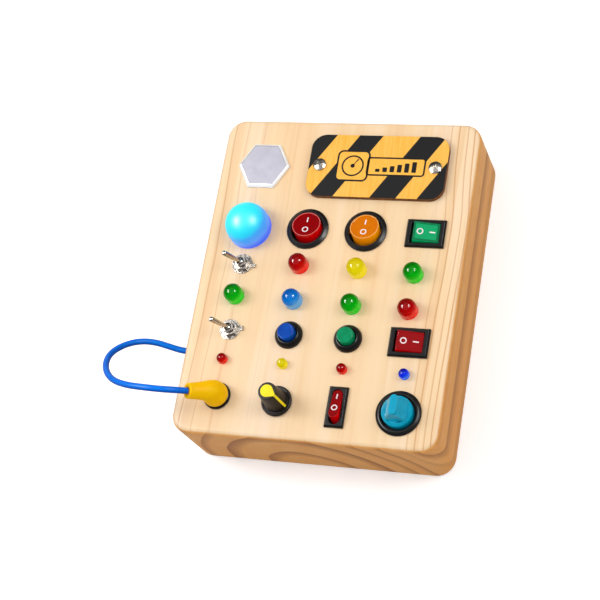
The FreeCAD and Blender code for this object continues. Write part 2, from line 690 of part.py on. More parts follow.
def make_round_rocker(name, column):
    turned = round_bezel_body(name + "_turned_body", "round_bezel", "round_bore",
                              "bore_depth")
    pin_hole = cylinder(name + "_pin_hole", "pivot_pin + running_gap",
                        "2 * (round_bore + pin_reach + seat_gap)",
                        "-round_bore - pin_reach - seat_gap", z="rocker_pivot",
                        axis=Y_AXIS, angle="90")
    body = cut(name + "_body", turned, pin_hole)
    node(name + "_body", place(body, column, "rocker_row", "board_depth"))

    drum = cylinder(name + "_drum", "round_rocker", "round_rocker_top + rocker_bottom",
                    z="-rocker_bottom")
    pins = cylinder(name + "_pins", "pivot_pin", "2 * (round_bore + pin_reach)",
                    "-round_bore - pin_reach", axis=Y_AXIS, angle="90")
    dish = cylinder(name + "_dish", "round_rocker - rocker_rim", "rocker_dish + 1",
                    z="round_rocker_top - rocker_dish")
    rocker = cut(name + "_rocker", fuse(name + "_rocker_blank", drum, pins), dish)
    node(name + "_rocker", place(rocker, column, "rocker_row",
                                         "board_depth + rocker_pivot", X_AXIS,
                                         "-round_tilt"))


def tapered_bezel(name, width, height):
    """A rectangular bezel whose top edge is drawn in on all four sides."""
    body = doc.addObject("PartDesign::Body", name)
    outline = sketch_on(body, name + "_outline")
    add_rectangle(outline, width, height)
    plate = pad(body, outline, "bezel_rise")
    dress(body, "Chamfer", plate, lying_at(size.bezel_rise), "bezel_edge")
    return body


def make_flat_rocker(name, row):
    bezel = tapered_bezel(name + "_bezel", "flat_bezel_width", "flat_bezel_height")
    lower = block(name + "_lower", "flat_body_width", "flat_body_height", "barrel_depth",
                  "-barrel_depth")
    mouth = block(name + "_mouth", "flat_mouth_width", "flat_mouth_height",
                  "bore_depth + bezel_rise + 1", "-bore_depth")
    pin_hole = cylinder(name + "_pin_hole", "pivot_pin + running_gap",
                        "flat_mouth_height + 2 * (pin_reach + seat_gap)", z="rocker_pivot",
                        y="flat_mouth_height / 2 + pin_reach + seat_gap",
                        axis=X_AXIS, angle="90")
    body = cut(name + "_body", fuse(name + "_solid", bezel, lower), mouth, pin_hole)
    node(name + "_body", place(body, "column_four", row, "board_depth"))

    slab = block(name + "_slab", "flat_rocker_width", "flat_rocker_height",
                 "flat_rocker_top + rocker_bottom", "-rocker_bottom")
    pins = cylinder(name + "_pins", "pivot_pin", "flat_mouth_height + 2 * pin_reach",
                    y="flat_mouth_height / 2 + pin_reach", axis=X_AXIS, angle="90")
    dish = block(name + "_dish", "flat_rocker_width - 2 * rocker_rim",
                 "flat_rocker_height - 2 * rocker_rim", "rocker_dish + 1",
                 "flat_rocker_top - rocker_dish")
    rocker = cut(name + "_rocker", fuse(name + "_rocker_blank", slab, pins), dish)
    node(name + "_rocker", place(rocker, "column_four", row,
                                        "board_depth + rocker_pivot", Y_AXIS, "flat_tilt"))


def stadium(name, radius, length, height, z):
    """An upright prism with round ends, its long side along Y."""
    reach = "((%s) / 2 - %s)" % (length, radius)
    return fuse(name, block(name + "_middle", "2 * " + radius, "2 * " + reach, height, z),
                cylinder(name + "_upper", radius, height, y=reach, z=z),
                cylinder(name + "_lower", radius, height, y="-" + reach, z=z))


def make_slim_rocker():
    bezel = tapered_bezel("slim_bezel", "slim_bezel_width", "slim_bezel_height")
    lower = block("slim_lower", "slim_body_width", "slim_body_height", "barrel_depth",
                  "-barrel_depth")
    mouth = stadium("slim_mouth", "slim_mouth_radius", "slim_mouth_height",
                    "bore_depth + bezel_rise + 1", "-bore_depth")
    pin_hole = cylinder("slim_pin_hole", "pivot_pin + running_gap",
                        "2 * (slim_mouth_radius + pin_reach + seat_gap)",
                        "-slim_mouth_radius - pin_reach - seat_gap", z="slim_pivot",
                        axis=Y_AXIS, angle="90")
    body = cut("slim_body", fuse("slim_solid", bezel, lower), mouth, pin_hole)
    node("slim_body", place(body, "column_three", "slim_place_y", "board_depth"))

    slab = stadium("slim_slab", "slim_rocker_radius", "slim_rocker_height",
                   "slim_rocker_top + rocker_bottom", "-rocker_bottom")
    pins = cylinder("slim_pins", "pivot_pin", "2 * (slim_mouth_radius + pin_reach)",
                    "-slim_mouth_radius - pin_reach", axis=Y_AXIS, angle="90")
    rocker = fuse("slim_rocker", slab, pins)
    node("slim_rocker", place(rocker, "column_three", "slim_place_y",
                              "board_depth + slim_pivot", X_AXIS, "-slim_tilt"))


# Toggles.

def make_toggle(name, row):
    case = block(name + "_case", "toggle_width", "toggle_length", "toggle_depth",
                 "-face_thickness - toggle_depth")
    bushing = cylinder(name + "_bushing", "bushing_radius", "face_thickness + bushing_rise",
                       z="-face_thickness")
    bore = cylinder(name + "_bore", "bushing_bore", "bushing_rise + face_thickness + 1",
                    z="-face_thickness + 2")
    body = cut(name + "_body", fuse(name + "_solid", case, bushing), bore)
    node(name + "_body", place(body, "column_one", row, "board_depth"))

    ball = sphere(name + "_ball", "bushing_bore - running_gap")
    arm = cone(name + "_arm", "lever_neck", "lever_tip", "lever_length - lever_tip")
    tip = sphere(name + "_tip", "lever_tip", "lever_length - lever_tip")
    tail = cylinder(name + "_tail", "lever_tail_radius", "lever_tail", z="-lever_tail")
    lever = fuse(name + "_lever", ball, arm, tip, tail)
    node(name + "_lever", place(lever, "column_one", row, "board_depth + toggle_pivot",
                                Y_AXIS, "-toggle_tilt"))


def make_toggle_hardware():
    disc = cylinder("washer_disc", "washer_radius", "washer_thickness")
    tab = block("washer_tab_plate", "washer_radius + washer_tab", "2.2", "washer_thickness",
                x="(washer_radius + washer_tab) / 2")
    bent = block("washer_tab_bend", "washer_thickness", "2.2", "1.5",
                 x="washer_radius + washer_tab - washer_thickness / 2")
    bore = cylinder("washer_bore", "bushing_radius + fit_gap", "4", z="-1")
    washer = cut("tab_washer", fuse("washer_blank", disc, tab, bent), bore)

    star = doc.addObject("PartDesign::Body", "star_body")
    ring = sketch_on(star, "star_ring")
    add_circle(ring, "star_washer_radius - 0.7")
    add_circle(ring, "bushing_radius + fit_gap")
    pad(star, ring, "star_washer_thickness")
    tooth = sketch_on(star, "star_tooth")
    add_polygon(tooth, [("star_washer_radius - 1", "0.55"), ("star_washer_radius - 1", "-0.55"),
                        ("star_washer_radius", "-0.4"), ("star_washer_radius", "0.4")])
    tooth_pad = pad(star, tooth, "star_washer_thickness")
    doc.recompute()
    teeth = star.newObject("PartDesign::PolarPattern", "star_teeth")
    teeth.Originals = [tooth_pad]
    teeth.Axis = (tooth, ["N_Axis"])
    teeth.Angle = 360
    bind(teeth, "Occurrences", "star_washer_teeth")
    star.Tip = teeth

    nut = cut("toggle_nut", hexagon("toggle_nut_blank", "toggle_nut_flats",
                                    "toggle_nut_thickness"),
              cylinder("toggle_nut_bore", "bushing_radius + fit_gap", "5", z="-1"))
    rows = (("upper", "upper_toggle_row", "-6", "12"), ("lower", "lower_toggle_row", "8", "25"))
    washers = []
    stars = []
    nuts = []
    for name, row, washer_turn, nut_turn in rows:
        washers.append(copy_at(name + "_tab_washer", washer, "column_one", row, "board_depth",
                               Z_AXIS, washer_turn))
        stars.append(copy_at(name + "_star_washer", star, "column_one", row,
                             "board_depth + washer_thickness", Z_AXIS, nut_turn))
        nuts.append(copy_at(name + "_toggle_nut", nut, "column_one", row,
                            "board_depth + washer_thickness + star_washer_thickness",
                            Z_AXIS, nut_turn))
    node("toggle_tab_washers", group("toggle_tab_washers", *washers))
    node("toggle_star_washers", group("toggle_star_washers", *stars))
    node("toggle_nuts", group("toggle_nuts", *nuts))


# Push buttons.

def helix_wire(radius, bottom, top, turns):
    """A coil made of quarter turns, each an arc through three points of the helix."""
    quarters = int(turns) * 4
    rise = (top - bottom) / quarters

    def spot(quarter):
        turn = math.pi / 2 * quarter
        return FreeCAD.Vector(radius * math.cos(turn), radius * math.sin(turn),
                              bottom + rise * quarter)
    arcs = [Part.Arc(spot(q), spot(q + 0.5), spot(q + 1)).toShape() for q in range(quarters)]
    return Part.Wire(arcs)


def make_spring(name, column):
    bottom = -size.button_depth + size.button_floor + size.spring_wire + 0.05
    top = -size.button_cap_bottom - size.spring_wire - 0.05
    path = helix_wire(size.spring_radius, bottom, top, size.spring_turns)
    start = path.Edges[0].Vertexes[0].Point
    tangent = path.Edges[0].tangentAt(path.Edges[0].FirstParameter)
    section = Part.Wire(Part.makeCircle(size.spring_wire, start, tangent))
    spring = doc.addObject("Part::Feature", name)
    spring.Shape = path.makePipeShell([section], True, False)
    node(name, place(spring, column, "button_row", "board_depth"))


def make_button(colour, column):
    step_up = "-button_cap_bottom + button_flange_thickness + seat_gap"
    turned = revolved(colour + "_button_turned", [
        ("button_mouth", "collar_rise"),
        ("collar_lip", "collar_rise"),
        ("collar_radius - 0.9", "collar_rise * 0.72"),
        ("collar_radius - 0.15", "collar_rise * 0.36"),
        ("collar_radius", "0"),
        ("button_barrel", "0"),
        ("button_barrel", "-button_depth"),
        ("0", "-button_depth"),
        ("0", "-button_depth + button_floor"),
        ("button_flange + running_gap", "-button_depth + button_floor"),
        ("button_flange + running_gap", step_up),
        ("button_cap + running_gap", step_up),
        ("button_cap + running_gap", "collar_rise - button_mouth_depth"),
        ("button_mouth", "collar_rise - button_mouth_depth")])
    node(colour + "_button_body", place(turned, column, "button_row", "board_depth"))
    cap = revolved(colour + "_cap_turned", [
        ("0", "-button_cap_bottom"),
        ("button_flange", "-button_cap_bottom"),
        ("button_flange", "-button_cap_bottom + button_flange_thickness"),
        ("button_cap", "-button_cap_bottom + button_flange_thickness"),
        ("button_cap", "button_cap_top - button_chamfer"),
        ("button_cap - button_chamfer", "button_cap_top"),
        ("button_cap - 2 * button_chamfer", "button_cap_top - 0.2"),
        ("0", "button_cap_top - 0.2")])
    node(colour + "_button_cap", place(cap, column, "button_row", "board_depth"))
    make_spring(colour + "_button_spring", column)


def make_panel_nuts():
    """Nuts behind the face, on the two buttons and the socket."""
    nut = cut("panel_nut", hexagon("panel_nut_blank", "panel_nut_flats", "panel_nut_thickness"),
              cylinder("panel_nut_bore", "button_barrel + fit_gap", "6", z="-1"))
    level = "board_depth - face_thickness - panel_nut_thickness"
    nuts = [copy_at("blue_button_nut", nut, "column_two", "button_row", level),
            copy_at("green_button_nut", nut, "column_three", "button_row", level),
            copy_at("jack_nut", nut, "column_one", "socket_place_y", level)]
    node("panel_nuts", group("panel_nuts", *nuts))


# Lamps with two leads.

LARGE_LEDS = [(column, "(led_row_%s - led_row_fall * %s)" % (row, column))
              for column, row in (("led_column_two", "upper"), ("led_column_three", "upper"),
                                  ("led_column_four", "upper"), ("led_column_one", "lower"),
                                  ("led_column_two", "lower"), ("led_column_three", "lower"),
                                  ("led_column_four", "lower"))]
LARGE_COLOURS = ["red", "yellow", "green", "green", "blue", "green", "red"]
SMALL_LEDS = [(column, "(small_led_row - small_row_fall * %s)" % column)
              for column in ("small_column_one", "small_column_two", "small_column_three",
                             "small_column_four")]
SMALL_COLOURS = ["red", "yellow", "red", "blue"]


def led_bulb(kind):
    """One lamp: a domed body with its flange behind the face."""
    radius = kind + "_led_radius"
    straight = kind + "_led_straight"
    stem = cylinder(kind + "_led_stem", radius, "face_thickness + " + straight,
                    z="-face_thickness")
    dome = sphere(kind + "_led_dome", radius, straight)
    flange = cylinder(kind + "_led_rim", kind + "_led_flange", "led_flange_thickness",
                      z="-face_thickness - led_flange_thickness")
    return fuse(kind + "_led", stem, dome, flange)


def make_leds():
    leads = []
    spots = {"large": list(zip(LARGE_LEDS, LARGE_COLOURS)),
             "small": list(zip(SMALL_LEDS, SMALL_COLOURS))}
    for kind, places in spots.items():
        bulb = led_bulb(kind)
        by_colour = {}
        for number, ((column, row), colour) in enumerate(places):
            name = "%s_led%d" % (kind, number)
            by_colour.setdefault(colour, []).append(
                copy_at(name, bulb, column, row, "board_depth"))
            for side, sign in (("anode", "+"), ("cathode", "-")):
                leads.append(block(
                    name + side, "led_lead_width", "led_lead_width", "led_lead_length",
                    "board_depth - face_thickness - led_flange_thickness - led_lead_length",
                    "%s %s led_lead_spacing / 2" % (column, sign), row))
        for colour, bulbs in by_colour.items():
            label = "%s_%s_%s" % (kind, colour, "led" if len(bulbs) == 1 else "leds")
            node(label, group(label, *bulbs))
    node("led_leads", group("led_leads", *leads))


# The pointer knob on its potentiometer.

def make_pot():
    can = cylinder("pot_can", "pot_radius", "pot_depth", z="-face_thickness - pot_depth")
    bushing = cylinder("pot_bushing_tube", "pot_bushing", "face_thickness + pot_bushing_rise",
                       z="-face_thickness")
    bore = cylinder("pot_bore", "pot_shaft_radius + running_gap", "40",
                    z="-pot_shaft_foot - seat_gap")
    body = cut("pot_body", fuse("pot_solid", can, bushing), bore)
    node("pot_body", place(body, "column_two", "pot_place_y", "board_depth"))
    nut = cut("pot_nut_ring", hexagon("pot_nut_blank", "pot_nut_flats", "pot_nut_thickness"),
              cylinder("pot_nut_bore", "pot_bushing + fit_gap", "5", z="-1"))
    node("pot_nut", place(nut, "column_two", "pot_place_y", "board_depth"))
    shaft = cylinder("pot_shaft_rod", "pot_shaft_radius", "pot_shaft_foot + pot_shaft_top",
                     z="-pot_shaft_foot")
    node("pot_shaft", copy_at("pot_shaft", shaft, "column_two", "pot_place_y", "board_depth"))

    knob = revolved("knob_turned", [
        ("knob_hollow", "knob_gap"),
        ("knob_flange - 0.3", "knob_gap"),
        ("knob_flange", "knob_gap + 0.4"),
        ("knob_flange", "knob_gap + knob_flange_rise - 0.6"),
        ("knob_flange - 0.7", "knob_gap + knob_flange_rise"),
        ("knob_foot + 0.5", "knob_gap + knob_flange_rise - 0.4"),
        ("knob_foot", "knob_gap + knob_flange_rise - 0.4"),
        ("knob_head", "knob_top - 0.3"),
        ("knob_head - 0.3", "knob_top"),
        ("0", "knob_top"),
        ("0", "pot_shaft_top + seat_gap"),
        ("pot_shaft_radius + fit_gap", "pot_shaft_top + seat_gap"),
        ("pot_shaft_radius + fit_gap", "knob_hollow_rise"),
        ("knob_hollow", "knob_hollow_rise")])
    node("pot_knob", place(knob, "column_two", "pot_place_y", "board_depth"))

    # The cap's teardrop narrows to a line that runs down the barrel's side.
    drop = fuse("cap_drop", cylinder("cap_disc", "knob_cap_radius", "knob_cap_rise"),
                drop_wings())
    drop_high = place(group("cap_drop_high", drop), z="knob_top")
    barrel_foot = "knob_gap + knob_flange_rise"
    skin = cone("pointer_skin_cone", "knob_foot + pointer_skin", "knob_head + pointer_skin",
                "knob_top + knob_cap_rise - (%s)" % barrel_foot, z=barrel_foot)
    strip = block("pointer_strip", "knob_foot + 2", "pointer_width",
                  "knob_top + knob_cap_rise - (%s)" % barrel_foot, barrel_foot,
                  x="(knob_foot + 2) / 2 + knob_cap_radius / 2")
    line = common("pointer_line", skin, strip)
    cap = cut("knob_cap_cut", fuse("knob_cap_blank", drop_high, line), knob_copy())
    node("pot_knob_cap", place(cap, "column_two", "pot_place_y", "board_depth", Z_AXIS,
                               "knob_pointer"))


def drop_wings():
    """The pointed side of the teardrop, lying on the knob's top."""
    body = doc.addObject("PartDesign::Body", "cap_wing_body")
    outline = sketch_on(body, "cap_wing_outline")
    add_polygon(outline, [("knob_cap_radius * 0.45", "knob_cap_radius * 0.893"),
                          ("-knob_cap_radius * 0.5", "0"),
                          ("knob_cap_radius * 0.45", "-knob_cap_radius * 0.893"),
                          ("knob_head", "-pointer_width / 2"),
                          ("knob_head", "pointer_width / 2")])
    pad(body, outline, "knob_cap_rise")
    return body


def knob_copy():
    """The knob's outside without its bore, to trim the cap to the barrel."""
    return revolved("knob_trim", [
        ("0", "0"),
        ("knob_foot", "0"),
        ("knob_foot", "knob_gap + knob_flange_rise - 0.4"),
        ("knob_head", "knob_top - 0.3"),
        ("knob_head - 0.3", "knob_top"),
        ("0", "knob_top")])


# The rotary switch.

def make_rotary():
    turned = round_bezel_body("rotary_turned_body", "rotary_bezel", "rotary_mouth",
                              "rotary_mouth_depth")
    bearing = cylinder("rotary_bearing", "rotary_stem + running_gap", "40",
                       z="-rotary_stem_depth - seat_gap")
    body = cut("rotary_body", turned, bearing)
    node("rotary_body", place(body, "column_four", "rotary_place_y", "board_depth"))

    disc = revolved("rotary_disc_turned", [
        ("0", "-rotary_disc_foot"),
        ("rotary_disc", "-rotary_disc_foot"),
        ("rotary_disc", "rotary_disc_top - rotary_edge"),
        ("rotary_disc - rotary_edge", "rotary_disc_top"),
        ("0", "rotary_disc_top")])
    stem = cylinder("rotary_stem_rod", "rotary_stem", "rotary_stem_depth", z="-rotary_stem_depth")
    gable = doc.addObject("Part::Wedge", "rotary_gable")
    reach = "(rotary_disc - rotary_edge)"
    for prop, text in (("Xmin", "-%s * 0.8" % reach), ("Xmax", "%s * 0.8" % reach),
                       ("Ymin", "0"), ("Ymax", "rotary_gable_top - rotary_disc_top"),
                       ("Zmin", "-%s * 0.9" % reach), ("Zmax", "%s * 0.8" % reach),
                       ("X2min", "-rotary_fin_width / 2"), ("X2max", "rotary_fin_width / 2"),
                       ("Z2min", "-rotary_fin_front + 1"), ("Z2max", "rotary_fin_back")):
        bind(gable, prop, text)
    # The wedge narrows along its own Y, so it is turned to stand up.
    place(gable, z="rotary_disc_top", axis=X_AXIS, angle="90")
    dome = cone("rotary_dome", reach, "%s * 0.9" % reach,
                "rotary_gable_top - rotary_disc_top + 0.1", z="rotary_disc_top - 0.1")
    flanks = common("rotary_flanks", gable, dome)
    rise = "rotary_fin_top - rotary_disc_top + 1"
    fin = fuse("rotary_fin",
               block("rotary_fin_bar", "rotary_fin_width",
                     "rotary_fin_front + rotary_fin_back - rotary_fin_width", rise,
                     "rotary_disc_top - 1", y="(rotary_fin_front - rotary_fin_back) / 2"),
               cylinder("rotary_fin_nose", "rotary_fin_width / 2", rise,
                        y="rotary_fin_front - rotary_fin_width / 2", z="rotary_disc_top - 1"),
               cylinder("rotary_fin_heel", "rotary_fin_width / 2", rise,
                        y="rotary_fin_width / 2 - rotary_fin_back", z="rotary_disc_top - 1"))
    knob = fuse("rotary_knob", disc, stem, flanks, fin)
    node("rotary_knob", place(knob, "column_four", "rotary_place_y", "board_depth"))


# The socket, its plug and the cord.

def make_jack():
    turned = revolved("jack_turned", [
        ("pin_radius + running_gap", "jack_rise"),
        ("jack_collar - 0.8", "jack_rise"),
        ("jack_collar", "jack_rise - 0.9"),
        ("jack_collar", "0"),
        ("jack_barrel", "0"),
        ("jack_barrel", "-jack_depth"),
        ("0", "-jack_depth"),
        ("0", "jack_rise - pin_length - 0.5"),
        ("pin_radius + running_gap", "jack_rise - pin_length - 0.5")])
    node("jack_socket", place(turned, "column_one", "socket_place_y", "board_depth"))
    foot = "jack_rise + seat_gap"
    pin = revolved("plug_pin_turned", [
        ("0", foot),
        ("0", "%s - pin_length" % foot),
        ("pin_radius * 0.5", "%s - pin_length" % foot),
        ("pin_radius", "%s - pin_length + pin_radius * 0.6" % foot),
        ("pin_radius", foot)])
    node("plug_pin", place(pin, "column_one", "socket_place_y", "board_depth"))
    make_sleeve()


def section_circle(name, radius, centre, normal):
    circle = doc.addObject("Part::Circle", name)
    bind(circle, "Radius", radius)
    circle.Placement = FreeCAD.Placement(centre, FreeCAD.Rotation(Z_AXIS, normal))
    return circle


def make_sleeve():
    """The rubber sleeve: it stands square on the socket and leans where the cord pulls it."""
    centre = FreeCAD.Vector(size.column_one, size.socket_place_y, size.board_depth)
    foot = centre + FreeCAD.Vector(0, 0, size.jack_rise + size.seat_gap)
    neck = foot + FreeCAD.Vector(0, 0, size.sleeve_foot_rise)
    end = FreeCAD.Vector(*CORD_POINTS[0])
    out = (FreeCAD.Vector(*CORD_POINTS[1]) - end).normalize()
    length = (end - neck).Length
    # The centre line is a cubic that leaves the foot upright and ends along the cord.
    def centre_line(share):
        up = Z_AXIS * length * 0.4
        back = out * -length * 0.4
        points = [neck, neck + up, end + back, end]
        weights = [(1 - share) ** 3, 3 * share * (1 - share) ** 2,
                   3 * share ** 2 * (1 - share), share ** 3]
        spot = FreeCAD.Vector()
        for point, weight in zip(points, weights):
            spot = spot + point * weight
        return spot
    sections = []
    for number, (share, radius) in enumerate(((0.0, "sleeve_foot"), (0.2, "sleeve_shoulder"),
                                              (0.5, "sleeve_waist"), (1.0, "sleeve_end"))):
        spot = centre_line(share)
        ahead = centre_line(min(share + 0.01, 1.0)) - centre_line(max(share - 0.01, 0.0))
        normal = Z_AXIS if share == 0 else (out if share == 1 else ahead)
        sections.append(section_circle("sleeve_section%d" % number, radius, spot, normal))
    loft = doc.addObject("Part::Loft", "sleeve_loft")
    loft.Sections = sections
    loft.Solid = True
    loft.Ruled = False
    base = cylinder("sleeve_base", "sleeve_foot", "sleeve_foot_rise", "column_one", "socket_place_y",
                    "board_depth + jack_rise + seat_gap")
    node("plug_sleeve", fuse("plug_sleeve", base, loft))


def rounded_path(spots):
    """Straight runs joined by tangent arcs, as large as the two runs allow."""
    edges = []
    radii = []
    start = spots[0]
    for before, corner, after in zip(spots, spots[1:], spots[2:]):
        into = (corner - before).normalize()
        away = (after - corner).normalize()
        half_turn = into.getAngle(away) / 2
        reach = 0.45 * min((corner - before).Length, (after - corner).Length)
        radius = reach / math.tan(half_turn)
        radii.append(radius)
        first = corner - into * reach
        last = corner + away * reach
        inward = (away - into).normalize()
        middle = corner + inward * radius * (1 / math.cos(half_turn) - 1)
        edges.append(Part.LineSegment(start, first).toShape())
        edges.append(Part.Arc(first, middle, last).toShape())
        start = last
    edges.append(Part.LineSegment(start, spots[-1]).toShape())
    return Part.Wire(edges), radii


def make_cord():
    spots = [FreeCAD.Vector(*point) for point in CORD_POINTS]
    path, radii = rounded_path(spots)
    section = Part.Wire(Part.makeCircle(size.cord_radius, spots[0], spots[1] - spots[0]))
    cord = doc.addObject("Part::Feature", "cord")
    cord.Shape = path.makePipeShell([section], True, False)
    node("cord", cord)
    print("cord arc radii:", " ".join("%.1f" % radius for radius in radii))
    expected = math.pi * size.cord_radius ** 2 * path.Length
    print("cord length %.1f, volume %.1f, section x length %.1f"
          % (path.Length, cord.Shape.Volume, expected))

    flange = cylinder("grommet_rim", "grommet_flange", "grommet_flange_thickness",
                      "-board_width / 2 - grommet_flange_thickness", CORD_EXIT_Y, CORD_EXIT_Z,
                      Y_AXIS, "90")
    neck = cylinder("grommet_neck", "grommet_radius", "side_wall + 1", "-board_width / 2 - 0.5",
                    CORD_EXIT_Y, CORD_EXIT_Z, Y_AXIS, "90")
    bore = cylinder("grommet_bore", "cord_radius + fit_gap", "side_wall + 10",
                    "-board_width / 2 - 5", CORD_EXIT_Y, CORD_EXIT_Z, Y_AXIS, "90")
    node("cord_grommet", cut("cord_grommet", fuse("grommet_blank", flange, neck), bore))
    tail = cylinder("cord_inner_end", "cord_radius",
                    "grommet_flange_thickness + side_wall + cord_tail",
                    "-board_width / 2 - grommet_flange_thickness", CORD_EXIT_Y, CORD_EXIT_Z,
                    Y_AXIS, "90")
    node("cord_inner_end", tail)


# The batteries.

def make_batteries():
    outer = block("battery_outer", "battery_length", "battery_width", "battery_height - 0.3",
                  "0.3")
    lip = block("battery_lip_plate", "battery_length + 2 * battery_lip",
                "battery_width + 2 * battery_lip", "1.4", "panel_thickness")
    room = block("battery_room", "battery_length - 2 * (battery_wall + door_ledge)",
                 "battery_width - 2 * battery_wall", "battery_height - battery_wall + 1", "-1")
    seat = block("door_seat", "battery_length - 2 * battery_wall",
                 "battery_width - 2 * battery_wall", "1 + door_recess + door_thickness", "-1")
    screw_hole = cylinder("door_screw_hole", "door_screw_shank + fit_gap",
                          "door_screw_length + 2", "battery_length / 2 - battery_wall - 2.6")
    post = block("door_post", "5", "6", "door_screw_length - 1", "2.5",
                 x="battery_length / 2 - battery_wall - 2.5")
    box = cut("battery_box", fuse("battery_solid", cut("battery_shell",
                                                       fuse("battery_blank", outer, lip),
                                                       room, seat), post), screw_hole)
    node("battery_box", place(box, "battery_place_x", "battery_place_y"))

    door_plate = block("door_plate", "battery_length - 2 * (battery_wall + panel_gap)",
                       "battery_width - 2 * (battery_wall + panel_gap)",
                       "door_thickness - fit_gap", "door_recess")
    grip_one = block("door_grip_one", "1.2", "16", "0.5", "door_recess - 0.1",
                     x="-battery_length / 2 + 10")
    grip_two = block("door_grip_two", "1.2", "16", "0.5", "door_recess - 0.1",
                     x="-battery_length / 2 + 13")
    grip_three = block("door_grip_three", "1.2", "16", "0.5", "door_recess - 0.1",
                       x="-battery_length / 2 + 16")
    sink = cylinder("door_screw_sink", "door_screw_radius + fit_gap", "1",
                    "battery_length / 2 - battery_wall - 2.6", z="0")
    through = cylinder("door_screw_through", "door_screw_shank + fit_gap", "4",
                       "battery_length / 2 - battery_wall - 2.6", z="0")
    door = cut("battery_door", door_plate, grip_one, grip_two, grip_three, sink, through)
    node("battery_door", place(door, "battery_place_x", "battery_place_y"))
    head = cylinder("door_screw_head", "door_screw_radius", "0.5", z="0.45")
    shank = cylinder("door_screw_rod", "door_screw_shank", "door_screw_length", z="0.6")
    slots = cross_slot("door_screw_slot", "door_screw_radius * 1.3", "0.35", "0.3")
    screw = cut("battery_door_screw", fuse("door_screw_blank", head, shank), *slots)
    node("battery_door_screw", place(screw, "battery_place_x + battery_length / 2 "
                                     "- battery_wall - 2.6", "battery_place_y"))

    cells = []
    level = "battery_height - battery_wall - cell_radius - seat_gap"
    for name, sign, heading in (("near", "-", "90"), ("far", "", "-90")):
        can = cylinder(name + "_cell_can", "cell_radius", "cell_length")
        button = cylinder(name + "_cell_button", "cell_button", "cell_button_rise",
                          z="cell_length")
        cell = fuse(name + "_cell", can, button)
        start = "-cell_length / 2" if heading == "90" else "cell_length / 2"
        cells.append(place(cell, start, sign + "(cell_radius + 0.6)", level, Y_AXIS, heading))
    node("battery_cells", place(group("battery_cells", *cells), "battery_place_x",
                                "battery_place_y"))
    contacts = []
    inner = "battery_length / 2 - battery_wall - door_ledge"
    for side, sign in (("left", "-"), ("right", "")):
        middle = "%s(%s - contact_thickness / 2)" % (sign, inner)
        contacts.append(block(side + "_contact_plate", "contact_thickness",
                              "4 * cell_radius - 2", "7", level + " - 2.7", x=middle))
        for cell_side, cell_sign in (("near", "-"), ("far", "")):
            gap = "(%s - contact_thickness - cell_length / 2 - cell_button_rise)" % inner
            reach = gap if (side == "right") == (cell_side == "near") else (
                "(%s + cell_button_rise)" % gap)
            base = "%s - contact_thickness" % inner
            start = "-(%s)" % base if side == "left" else "%s - %s" % (base, reach)
            contacts.append(cylinder("%s_%s_contact" % (side, cell_side), "cell_button",
                                     "%s - seat_gap" % reach,
                                     start + (" + seat_gap" if side == "right" else ""),
                                     cell_sign + "(cell_radius + 0.6)", level, Y_AXIS, "90"))
    node("battery_contacts", place(group("battery_contacts", *contacts), "battery_place_x",
                                   "battery_place_y"))


def make_terminals():
    """Blades and solder lugs under the switches."""
    blades = []
    level = "board_depth - barrel_depth - blade_length"
    switches = (("red_round", "column_two", "rocker_row", "Y", "6"),
                ("amber_round", "column_three", "rocker_row", "Y", "6"),
                ("green_flat", "column_four", "rocker_row", "X", "6"),
                ("red_flat", "column_four", "red_flat_row", "X", "6"),
                ("slim", "column_three", "slim_place_y", "Y", "6"),
                ("rotary", "column_four", "rotary_place_y", "Y", "6"))
    for name, column, row, along, pitch in switches:
        for number, shift in enumerate(("-" + pitch, "+0", "+" + pitch)):
            x = column + (shift if along == "X" else "")
            y = row + (shift if along == "Y" else "")
            wide, thin = "blade_width", "blade_thickness"
            width, depth = (thin, wide) if along == "X" else (wide, thin)
            blades.append(block("%s_blade%d" % (name, number), width, depth, "blade_length",
                                level, x, y))
    lugs = (("upper_toggle", "column_one", "upper_toggle_row",
             "face_thickness + toggle_depth", ("-4", "+0", "+4")),
            ("lower_toggle", "column_one", "lower_toggle_row",
             "face_thickness + toggle_depth", ("-4", "+0", "+4")),
            ("blue_button", "column_two", "button_row", "button_depth", ("-3", "+3")),
            ("green_button", "column_three", "button_row", "button_depth", ("-3", "+3")),
            ("pot", "column_two", "pot_place_y", "face_thickness + pot_depth",
             ("-5", "+0", "+5")),
            ("jack", "column_one", "socket_place_y", "jack_depth", ("-3", "+3")))
    for name, column, row, depth, shifts in lugs:
        for number, shift in enumerate(shifts):
            blades.append(block("%s_lug%d" % (name, number), "lug_width", "blade_thickness",
                                "lug_length", "board_depth - (%s) - lug_length" % depth,
                                column, row + shift))
    node("switch_terminals", group("switch_terminals", *blades))


CORD_EXIT_Y = "(%s)" % CORD_POINTS[-1][1]
CORD_EXIT_Z = "(%s)" % CORD_POINTS[-1][2]
SCREW_X = "(board_width / 2 - side_wall + rebate_width / 2)"
SCREW_Y = "(board_length / 2 - panel_screw_inset)"
PANEL_SCREWS = [("-" + SCREW_X, "-" + SCREW_Y), (SCREW_X, "-" + SCREW_Y),
                ("-" + SCREW_X, "0"), (SCREW_X, "0"),
                ("-" + SCREW_X, SCREW_Y), (SCREW_X, SCREW_Y)]

make_housing()
make_back_panel()
make_mirror()
make_sign()
make_lamp()
make_round_rocker("red_round", "column_two")
make_round_rocker("amber_round", "column_three")
make_flat_rocker("green_flat", "rocker_row")
make_flat_rocker("red_flat", "red_flat_row")
make_slim_rocker()
make_toggle("upper_toggle", "upper_toggle_row")
make_toggle("lower_toggle", "lower_toggle_row")
make_toggle_hardware()
make_button("blue", "column_two")
make_button("green", "column_three")
make_panel_nuts()
make_leds()
make_pot()
make_rotary()
make_jack()
make_cord()
make_batteries()
make_terminals()

